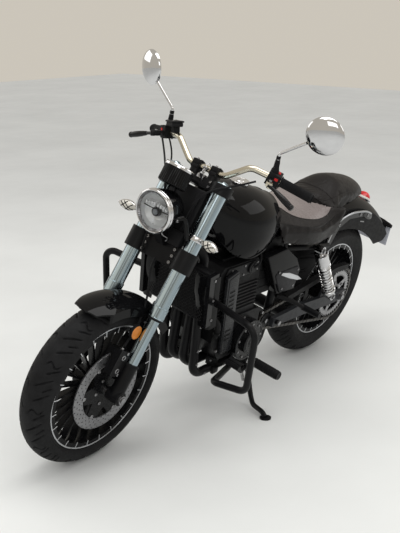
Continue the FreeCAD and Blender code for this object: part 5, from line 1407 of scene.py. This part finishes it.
def makePlateTrim():
    corners = [unstance @ vert.co for vert in frame["nodes"]["number_plate"].data.vertices]
    back, wide = min(corner.x for corner in corners), max(corner.y for corner in corners)
    lowZ, highZ = min(corner.z for corner in corners), max(corner.z for corner in corners)
    middle, half = (lowZ + highZ) / 2, (highZ - lowZ) / 2
    inset, curve = plateTrim["inset"], plateTrim["corner"]
    loop = []
    for cx, cz, first in ((1, 1, 0), (-1, 1, 90), (-1, -1, 180), (1, -1, 270)):
        for part in range(5):
            angle = math.radians(first + 22.5 * part)
            loop.append(Vector((back - 0.2, cx * (wide - inset) + curve * math.cos(angle),
                                middle + cz * (half - inset) + curve * math.sin(angle))))
    bm = bmesh.new()
    tube(bm, loop, 0.9, 8, True)
    keep("plateBorder", bm, "chassis", "plate_grey")
    bm = bmesh.new()
    for side in (1, -1):
        lathe(bm, [(0, 6), (1.5, 6), (2.2, 5), (2.2, 0)],
              Vector((back - 0.1, side * plateTrim["screwSide"], middle + plateTrim["screwUp"])), -ahead, 18)
    keep("plateScrews", bm, "chassis", "steel")
    top = max((unstance @ vert.co).z for vert in frame["nodes"]["plate_bracket"].data.vertices)
    lip = []
    for step in range(17):
        share = step / 8 - 1
        lip.append(Vector((back + 20 - plateTrim["lipBulge"] * (1 - share ** 2),
                           wide * plateTrim["lipWide"] * share, top - 3)))
    bm = bmesh.new()
    tube(bm, lip, [6 + 6 * math.sin(math.pi * k / 16) for k in range(17)], 14)
    keep("plateLip", bm, "chassis", "shiny_plastic", finishes["gloss_black"])


makePlateTrim()
print("rear end done")

# Shocks: a wound spring over each damper, with bands, a notched adjuster ring and end nuts
shock = {"low": Vector((147, 156, 376)), "high": Vector((346, 156, 636)), "coils": 8.5, "wire": 4.6, "coil": 22.2,
         "springLow": 50.5, "springHigh": 105.5, "coilSteps": 26}


def makeShocks():
    along, side, other = axesOf(shock["high"] - shock["low"])
    span, wire = (shock["high"] - shock["low"]).length, shock["wire"]
    begin, end = shock["springLow"] + wire, span - shock["springHigh"] - wire
    count = int(shock["coils"] * shock["coilSteps"])
    coil = []
    for step in range(count + 1):
        turn = 2 * math.pi * shock["coils"] * step / count
        coil.append(shock["low"] + along * (begin + (end - begin) * step / count)
                    + (side * math.cos(turn) + other * math.sin(turn)) * shock["coil"])
    for mark, word in sides:
        bm = bmesh.new()
        tube(bm, [sided(spot, mark) for spot in coil], wire, 10)
        keep("springCoil" + word, bm, "chassis", "chrome", replaces=["shock_springs"])
        bm = bmesh.new()
        base, way = sided(shock["low"], mark), sided(along, mark)
        for at, radius in ((span - 106, 29.4), (span - 98, 28.8), (span - 26, 29), (52, 29)):
            lathe(bm, [(-2.4, radius - 2), (-1.4, radius), (1.4, radius), (2.4, radius - 2)], base + way * at, way, 48)
        lathe(bm, [(span - 96, 28.2), (span - 94, 29.3), (span - 84, 29.3), (span - 82, 28.2)], base, way, 48,
              flute=12, dip=1.6)
        keep("shockBands" + word, bm, "chassis", "chrome")
        bm = bmesh.new()
        for at in (0, span):
            spot = base + way * at
            lathe(bm, [(14, 13), (17, 13), (18, 11), (18, 0)], spot, left * mark, 24)
            hexBolt(bm, spot + left * mark * 18, left * mark, 8, 6)
        keep("shockNuts" + word, bm, "chassis", "steel")


makeShocks()

# Engine: slotted covers, ringed caps and bolts, cylinder fins, the head and a starter
engine = {"half": 105.3, "cover": Vector((693, 105.3, 312)), "coverDeep": 34, "capDeep": 16, "boltRing": 70,
          "foremostBolt": 766, "finLow": 452, "finStep": 15}
slats = {"corners": [(772, 285), (842, 285), (905, 622), (845, 640), (838, 625)], "face": 119.6, "panel": 122.0,
         "rows": [560 - 19 * k for k in range(6)] + [388 - 19 * k for k in range(3)]}


def makeSlats():
    corners, lean = slats["corners"], Matrix.Rotation(0.12, 3, "Y")
    middleX, middleZ = sum(x for x, z in corners) / 5, sum(z for x, z in corners) / 5
    shrunk = [(middleX + (x - middleX) * 0.84, middleZ + (z - middleZ) * 0.95) for x, z in corners]
    for side, word in sides:
        bm = bmesh.new()
        prism(bm, corners, side * engine["half"], side * slats["face"], 2.5, 3)
        prism(bm, shrunk, side * 117, side * slats["panel"], 2.0, 3)
        keep("slatCover" + word, bm, "chassis", "shiny_plastic", coverGrey, replaces=["slotted_covers"])
        bm, dark = bmesh.new(), bmesh.new()
        for z in slats["rows"]:
            share = (z - 285) / (640 - 285)
            low, high = 781 + share * 62, 838 + share * 55
            middle = Vector(((low + high) / 2 + 6, side * 121.6, z))
            # each slot's dark inset is painted shade standing in for the shaded opening; the louvre lip sits above it
            roundBox(dark, middle, (high - low - 22, 1.6, 7), lean, 0.7, 2)
            roundBox(bm, middle + Vector((0, side * 0.5, 4.6)), (high - low - 18, 2.4, 2.2), lean, 0.8, 2)
        keep("slatLouvres" + word, bm, "chassis", "shiny_plastic", coverGrey)
        keep("slatSlots" + word, dark, "chassis", "black_plastic", slotShadeBlack)


coverGrey = makeFinish("coverGrey", (0.013, 0.0135, 0.015), 0.28, wear=0.06, lift=0.05, shine=0.25)
# near-black matte sheets put in the slots as painted shade where the openings would be dark
slotShadeBlack = makeFinish("slotShadeBlack", (0.003, 0.003, 0.003), 0.8)
makeSlats()


def makeEngineCovers():
    deep, cap = engine["coverDeep"], engine["coverDeep"] + engine["capDeep"]
    for side, word in sides:
        face, way = sided(engine["cover"], side), left * side
        bm = bmesh.new()
        lathe(bm, [(deep + 0.2, 84), (deep + 2.4, 82), (deep + 2.4, 78), (deep + 0.4, 76)], face, way, 72)
        for radius in (47, 40, 24):
            lathe(bm, [(cap, radius), (cap + 1.8, radius - 1.2), (cap + 1.8, radius - 3), (cap, radius - 4.2)],
                  face, way, 64)
        lathe(bm, [(cap, 18), (cap + 1.4, 16), (cap + 1.4, 0)], face, way, 40)
        keep("coverRings" + word, bm, "chassis", "shiny_plastic", coverGrey)
        bm = bmesh.new()
        for turn in turnsOf(9, 0.3):
            spot = face + spoke(turn) * engine["boltRing"]
            if spot.x <= engine["foremostBolt"]:
                capBolt(bm, spot + way * (deep + 0.3), way, 5, 4)
        for x, z in ((590, 392), (610, 268), (655, 262), (860, 300), (874, 388), (716, 404)):
            hexBolt(bm, Vector((x, side * 105.4, z)), way, 6.5, 6)
        keep("coverBolts" + word, bm, "chassis", "steel")


def makeCylinderHead():
    bm = bmesh.new()
    for level in range(8):
        z = engine["finLow"] + level * engine["finStep"]
        share = (z - 425) / 230
        low, high = 652 + share * 36, 893 + share * 30
        for side in (1, -1):
            roundBox(bm, Vector(((low + high) / 2, side * 99.5, z)), (high - low, 8, 4), None, 1, 1)
        roundBox(bm, Vector((high + 1, 0, z)), (10, 186, 4), None, 1, 1)
    keep("cylinderFins", bm, "chassis", "satin_black")
    # cam covers, plug caps and a breather
    bm = bmesh.new()
    for side in (1, -1):
        prism(bm, [(704, 600), (876, 600), (900, 628), (888, 650), (716, 650), (692, 630)],
              side * 97, side * 104, 2.5, 3)
        lathe(bm, [(0, 24), (6, 24), (8, 22), (8, 14), (10, 13), (10, 0)], Vector((742, side * 103.6, 626)),
              left * side, 32)
    roundBox(bm, Vector((800, 0, 661)), (150, 120, 14), None, 5, 3)
    keep("headCovers", bm, "chassis", "satin_black")
    bm = bmesh.new()
    for side in (1, -1):
        for x, z in ((712, 642), (790, 643), (866, 640), (884, 620), (706, 612), (790, 607), (868, 607)):
            capBolt(bm, Vector((x, side * 104, z)), left * side, 4, 3.5)
    for x in (590, 680, 770, 850):
        for side in (1, -1):
            capBolt(bm, Vector((x, side * 90, 249)), -up, 5, 4)
    hexBolt(bm, Vector((700, 10, 250)), -up, 10, 6)
    keep("headBolts", bm, "chassis", "steel")


def makeStarter():
    bm = bmesh.new()
    lathe(bm, [(-60, 0), (-60, 26), (-57, 29), (52, 29), (55, 26), (55, 12), (60, 11), (60, 0)],
          Vector((640, 20, 458)), left, 40)
    roundBox(bm, Vector((640, 20, 436)), (60, 90, 24), None, 4, 2)
    keep("starterMotor", bm, "chassis", "satin_black")


makeEngineCovers()
makeCylinderHead()
makeStarter()

# Coolant hoses with their clips, and the plug leads, on both sides
engineLines = {
    "lowerHose": (11, ((952, 100, 470), (930, 126, 462), (915, 132, 430), (905, 122, 392), (890, 108, 372))),
    "plugLead": (4, ((742, 110, 626), (728, 124, 640), (712, 118, 664), (700, 96, 684), (696, 70, 700))),
}
hoseClip = {"at": (910, 126, 405), "way": Vector((-0.3, -0.2, -0.9))}
for side, word in sides:
    for name, (radius, route) in engineLines.items():
        cable(name + word, [sided(point, side) for point in route], radius, "chassis")
bm = bmesh.new()
for side in (1, -1):
    lathe(bm, [(-5, 12), (-5, 13.2), (5, 13.2), (5, 12)], sided(hoseClip["at"], side),
          sided(hoseClip["way"], side), 28)
keep("hoseClips", bm, "chassis", "satin_black")
print("engine dressed")


# Radiator: tanks, glossy edge shells, fins and a crossed wire guard
radiatorShape = {"half": 145, "tall": 210, "deep": 28, "corner": Vector((933, 0, 201)), "top": Vector((1025, 0, 735)),
                 "along": 400, "guardStep": 15}


def makeRadiator():
    along = (radiatorShape["top"] - radiatorShape["corner"]).normalized()
    turn = up.rotation_difference(along).to_matrix()
    front = turn @ ahead
    middle = radiatorShape["corner"] + along * radiatorShape["along"] + front * (17.3 + radiatorShape["deep"] / 2)
    face = radiatorShape["deep"] / 2
    half, tall = radiatorShape["half"], radiatorShape["tall"]

    def spot(y, z, fore):
        return middle + left * y + along * z + front * fore

    bm = bmesh.new()
    for side in (1, -1):
        roundBox(bm, spot(side * (half - 9), 0, 1), (31, 18, tall), turn, 4, 2)
        roundBox(bm, spot(0, side * (tall / 2 - 5), 1), (31, 2 * half, 10), turn, 3, 2)
    lathe(bm, [(0, 14), (5, 14), (7, 12), (7, 0)], spot(-90, tall / 2 - 2, 0), along, 8)
    keep("radiatorTanks", bm, "chassis", "black_plastic", finishes["satin_black"])
    bm = bmesh.new()
    for side in (1, -1):
        # a glossy shell wraps the radiator's outer edge and narrows toward its foot
        rows = []
        for step in range(13):
            share = step / 12
            high = tall / 2 - 16 - share * (tall + 2)
            reach = 64 - 26 * share + 7 * math.sin(share * math.pi * 1.4)
            bulge = 3 + 12 * math.sin(min(1, share * 1.5) * math.pi)
            row = []
            for out, fore in ((half + 17.5, -26), (half + 17.5, -2), (half + 15, 10), (half + 4, face + bulge * 0.6),
                              (half - 12, face + bulge), (half - reach + 10, face + bulge * 0.8),
                              (half - reach, face + 1.5), (half - reach + 2, face - 3), (half + 6, -26)):
                row.append(bm.verts.new(spot(side * out, high, fore)))
            rows.append(row)
        joinRows(bm, rows)
        bm.faces.new(rows[0])
        bm.faces.new(rows[-1])
    keep("radiatorShells", bm, "chassis", "shiny_plastic", finishes["gloss_black"], smooth=50)
    bm = bmesh.new()
    count = 44
    for step in range(count):
        y = -(half - 20) + (2 * half - 40) * step / (count - 1)
        roundBox(bm, spot(y, 0, face + 0.2), (1.6, 1.0, tall - 20), turn, 0, 1)
    for step in range(13):
        z = -(tall / 2 - 14) + (tall - 28) * step / 12
        roundBox(bm, spot(0, z, face + 0.6), (2.2, 2 * half - 36, 2.2), turn, 0.5, 1)
    keep("radiatorFins", bm, "chassis", "grey_alloy", radiatorFin)
    bm = bmesh.new()
    wide, high = half - 16, tall / 2 - 8
    span = int((wide + high) * 2 / radiatorShape["guardStep"])
    for lean in (1, -1):
        for step in range(-span, span + 1):
            shift = step * radiatorShape["guardStep"]
            ends = []
            for y in (-wide, wide):
                z = lean * y + shift
                held = max(-high, min(high, z))
                ends.append((y + (held - z) / lean, held))
            if max(abs(y) for y, z in ends) > wide + 0.1 or abs(ends[1][0] - ends[0][0]) < 4:
                continue
            tube(bm, [spot(y, z, face + 3.4 + 0.5 * lean) for y, z in ends], 1.0, 6)
    keep("radiatorGuard", bm, "chassis", "satin_black")
    bm = bmesh.new()
    for side in (1, -1):
        for z in (-82, 0, 82):
            capBolt(bm, spot(side * (half + 16.4), z, 4), left * side, 5, 3)
    keep("shroudBolts", bm, "chassis", "steel")


radiatorFin = makeFinish("radiatorFin", (0.026, 0.026, 0.028), 0.45, metallic=0.5, lift=0.1)
makeRadiator()


# Exhaust: a tapered silencer with a slotted shield, and the header flanges
muffler = {"start": Vector((430, -186, 288)), "end": Vector((-130, -186, 318)), "radius": 42}


def makeExhaust():
    way = (muffler["end"] - muffler["start"]).normalized()
    long = (muffler["end"] - muffler["start"]).length
    radius = muffler["radius"]

    def outward(degrees):
        # away from the silencer's middle line on the machine's outer side
        angle = math.radians(degrees)
        return -left * math.cos(angle) + up * math.sin(angle)

    bm = bmesh.new()
    lathe(bm, [(0, 22), (3, 25), (60, 38), (90, radius - 0.6), (92, radius), (100, radius), (102, radius - 0.8),
               (long - 60, radius - 0.8), (long - 58, radius), (long - 48, radius), (long - 46, radius - 1),
               (long - 20, radius - 3), (long - 4, radius - 9), (long, radius - 12), (long, radius - 18),
               (long - 40, radius - 19), (long - 40, 0)], muffler["start"], way, 64)
    keep("mufflerShell", bm, "chassis", "satin_black", replaces=["muffler"])
    bm = bmesh.new()
    for at in (120, long - 90):
        for turn in (-30, 30):
            out = outward(turn)
            capBolt(bm, muffler["start"] + way * at + out * (radius - 1), out, 4.5, 3)
    lathe(bm, [(-9, 21), (-9, 24), (4, 26), (4, 22)], muffler["start"], way, 36)
    for side in (1, -1):
        lathe(bm, [(-1, 20), (-1, 27), (8, 27), (8, 20)], Vector((911.4, side * 30, 540)), ahead, 32)
        for part in (1, -1):
            hexBolt(bm, Vector((918, side * 30, 540 + part * 24)), ahead, 5, 6)
    keep("exhaustClamps", bm, "chassis", "steel")
    bm = bmesh.new()
    # dark insets along the shield are painted shade standing in for its slot openings
    for row in range(5):
        for step in range(9):
            out = outward(-36 + row * 18)
            spot = muffler["start"] + way * (170 + step * 30 + (row % 2) * 15) + out * (radius - 0.9)
            turn = Matrix((way, out, way.cross(out))).transposed()
            roundBox(bm, spot, (17, 1.6, 4.5), turn, 0.7, 1)
    keep("shieldSlots", bm, "chassis", "black_plastic", slotShadeBlack)


makeExhaust()

# Side covers: a glossy shell, a duller raised panel, and a silver blade; the air box fills between them
sideCover = {
    "shell": [(690, 664), (560, 478), (436, 470), (425, 560), (470, 616), (560, 676)],
    "panel": [(548, 484), (444, 478), (434, 556), (452, 580), (600, 578), (606, 566)],
    "blade": [(572, 566), (560, 574), (510, 563), (440, 534), (402, 509), (440, 516), (510, 540)],
    "bolts": ((458, 494), (538, 498), (586, 580), (448, 562)),
}


def makeSideCovers():
    for side, word in sides:
        bm = bmesh.new()
        prism(bm, sideCover["shell"], side * 93.4, side * 134, 5, 3)
        keep("sideCover" + word, bm, "chassis", "shiny_plastic", finishes["gloss_black"], replaces=["side_covers"])
        bm = bmesh.new()
        prism(bm, sideCover["panel"], side * 130, side * 137.3, 3, 3)
        keep("sideCoverPanel" + word, bm, "chassis", "black_plastic", coverPanel)
        bm = bmesh.new()
        prism(bm, sideCover["blade"], side * 135, side * 141, 2.2, 3)
        keep("sideCoverBlade" + word, bm, "chassis", "steel", paleMetal)
        bm = bmesh.new()
        for x, z in sideCover["bolts"]:
            capBolt(bm, Vector((x, side * 137.0, z)), left * side, 4.5, 2.2)
        keep("sideCoverBolts" + word, bm, "chassis", "steel")


coverPanel = makeFinish("coverPanel", (0.012, 0.012, 0.0135), 0.42, wear=0.07, lift=0.14)
makeSideCovers()


def makeAirBox():
    bm = bmesh.new()
    roundBox(bm, Vector((560, 0, 590)), (170, 170, 250), None, 10, 3)
    roundBox(bm, Vector((668, 0, 690)), (80, 150, 56), None, 8, 3)
    for level in range(5):
        roundBox(bm, Vector((560, 0, 500 + level * 38)), (174, 174, 6), None, 2, 2)
    keep("airBox", bm, "chassis", "black_plastic")


makeAirBox()


# Peg rubbers and ends, passenger peg bolts, frame bolts with the chain adjusters, crash bar clamps
bolts = {
    "crashBars": ((944, 262), (955, 322), (973, 430), (989, 520)), "rails": (760, 690, 560, 880), "railHigh": 201,
    "half": 93, "passenger": (440, 142, 421), "pivot": (500, 142, 335), "axle": (0, 144, 323),
}


def makeSmallParts():
    rubber, chromeEnds = bmesh.new(), bmesh.new()
    ribs = [row for k in range(9) for row in (
        (10 + k * 11, 17.4), (12 + k * 11, 18.8), (18 + k * 11, 18.8), (20 + k * 11, 17.4))]
    for side in (1, -1):
        root = Vector((722, side * 204, 258))
        lathe(rubber, [(0, 14), (0, 18.4), (4, 19), (8, 17.6)] + ribs + [(112, 18), (114, 17), (114, 10)],
              root, left * side, 40)
        lathe(rubber, [(-2, 8), (-2, 12), (0, 12.4), (56, 12.4), (58, 11), (58, 8)], Vector((860, side * 178, 300)),
              left * side, 28)
        lathe(chromeEnds, [(112, 15), (117.4, 15), (118, 13.5), (118, 0)], root, left * side, 32)
    keep("pegRubbers", rubber, "chassis", "rubber")
    keep("pegEnds", chromeEnds, "chassis", "chrome")
    bm = bmesh.new()
    for side in (1, -1):
        hexBolt(bm, sided(bolts["passenger"], side), left * side, 8, 6)
    keep("passengerBolts", bm, "chassis", "steel")
    bm = bmesh.new()
    for side in (1, -1):
        for x, z in bolts["crashBars"]:
            capBolt(bm, Vector((x, side * bolts["half"], z)), left * side, 5, 4)
        hexBolt(bm, sided(bolts["pivot"], side), left * side, 11, 6)
        for x in bolts["rails"]:
            capBolt(bm, Vector((x, side * bolts["half"], bolts["railHigh"])), left * side, 5, 4)
        hexBolt(bm, sided(bolts["axle"], side), left * side, 13, 5)
        roundBox(bm, Vector((-30, side * 131, 323)), (20, 3, 26), None, 1.2, 1)
        capBolt(bm, Vector((-46, side * 122, 323)), -ahead, 5, 8)
    keep("frameBolts", bm, "chassis", "steel")
    bm = bmesh.new()
    for side in (1, -1):
        for x, z in ((972, 560), (820, 200)):
            roundBox(bm, Vector((x, side * 96, z)), (34, 14, 30), None, 4, 2)
    keep("crashClamps", bm, "chassis", "satin_black")


makeSmallParts()


standSpring = {"low": Vector((668, 146, 120)), "high": Vector((664, 112, 176)), "turns": 15, "radius": 6}


def makeStandSpring():
    span = standSpring["high"] - standSpring["low"]
    along, side, other = axesOf(span)
    line = []
    for step in range(241):
        share = step / 240
        turn = 2 * math.pi * standSpring["turns"] * share
        line.append(standSpring["low"] + along * span.length * share
                    + (side * math.cos(turn) + other * math.sin(turn)) * standSpring["radius"])
    bm = bmesh.new()
    tube(bm, line, 1.4, 6)
    keep("standSpring", bm, "side_stand", "steel")


makeStandSpring()
print("running gear done")

# Floor and studio light
floor = {"colour": (0.66, 0.66, 0.63), "half": 14}
air = {"seen": (0.60, 0.56, 0.49, 1), "lit": (0.97, 0.98, 1.0, 1), "strength": 0.85}
lights = {
    "overhead": {"place": (0.2, 0.5, 4.0), "aim": (0, 0, 0.4), "size": (4.6, 2.0), "power": 84},
    "frontLeft": {"place": (3.0, 2.6, 2.8), "aim": (0, 0, 0.5), "size": (3.0, 1.6), "power": 26},
    "rearLeft": {"place": (-2.8, 2.6, 2.5), "aim": (-0.2, 0, 0.6), "size": (3.4, 1.6), "power": 24},
    "rightFill": {"place": (0.8, -3.4, 2.4), "aim": (0, 0, 0.5), "size": (2.6, 1.6), "power": 18},
}


def makeFloor():
    bm = bmesh.new()
    bmesh.ops.create_grid(bm, x_segments=8, y_segments=8, size=floor["half"])
    mesh = bpy.data.meshes.new("studioFloor")
    bm.to_mesh(mesh)
    bm.free()
    mesh.materials.append(makeFinish("floorTile", floor["colour"], 0.42, spread=0.05, wear=0.06, patch=1.2, grain=60,
                                     lift=0.01))
    piece = bpy.data.objects.new("studioFloor", mesh)
    scene.collection.objects.link(piece)


def makeWorld():
    # the camera, mirrors and glass see a plain wall; everything else is lit by a paler sky
    world = bpy.data.worlds.new("studio")
    scene.world = world
    world.use_nodes = True
    nodes, links = world.node_tree.nodes, world.node_tree.links
    nodes.clear()
    outcome, choose = nodes.new("ShaderNodeOutputWorld"), nodes.new("ShaderNodeMixShader")
    seen, lit = nodes.new("ShaderNodeBackground"), nodes.new("ShaderNodeBackground")
    seen.inputs["Color"].default_value = air["seen"]
    lit.inputs["Color"].default_value = air["lit"]
    lit.inputs["Strength"].default_value = air["strength"]
    rays = nodes.new("ShaderNodeLightPath")
    first, second = nodes.new("ShaderNodeMath"), nodes.new("ShaderNodeMath")
    first.operation = second.operation = "MAXIMUM"
    for begin, end in ((rays.outputs["Is Camera Ray"], first.inputs[0]),
                       (rays.outputs["Is Glossy Ray"], first.inputs[1]), (first.outputs[0], second.inputs[0]),
                       (rays.outputs["Is Transmission Ray"], second.inputs[1]),
                       (second.outputs[0], choose.inputs["Fac"]), (lit.outputs[0], choose.inputs[1]),
                       (seen.outputs[0], choose.inputs[2]), (choose.outputs[0], outcome.inputs["Surface"])):
        links.new(begin, end)


def makeLights():
    for name, row in lights.items():
        data = bpy.data.lights.new(name, "AREA")
        data.shape = "RECTANGLE"
        data.size, data.size_y = row["size"]
        data.energy = row["power"]
        light = bpy.data.objects.new(name, data)
        light.location = row["place"]
        light.rotation_euler = (Vector(row["aim"]) - light.location).to_track_quat("-Z", "Y").to_euler()
        scene.collection.objects.link(light)


makeFloor()
makeWorld()
makeLights()
scene.view_settings.view_transform = "Standard"

print("scene ready")
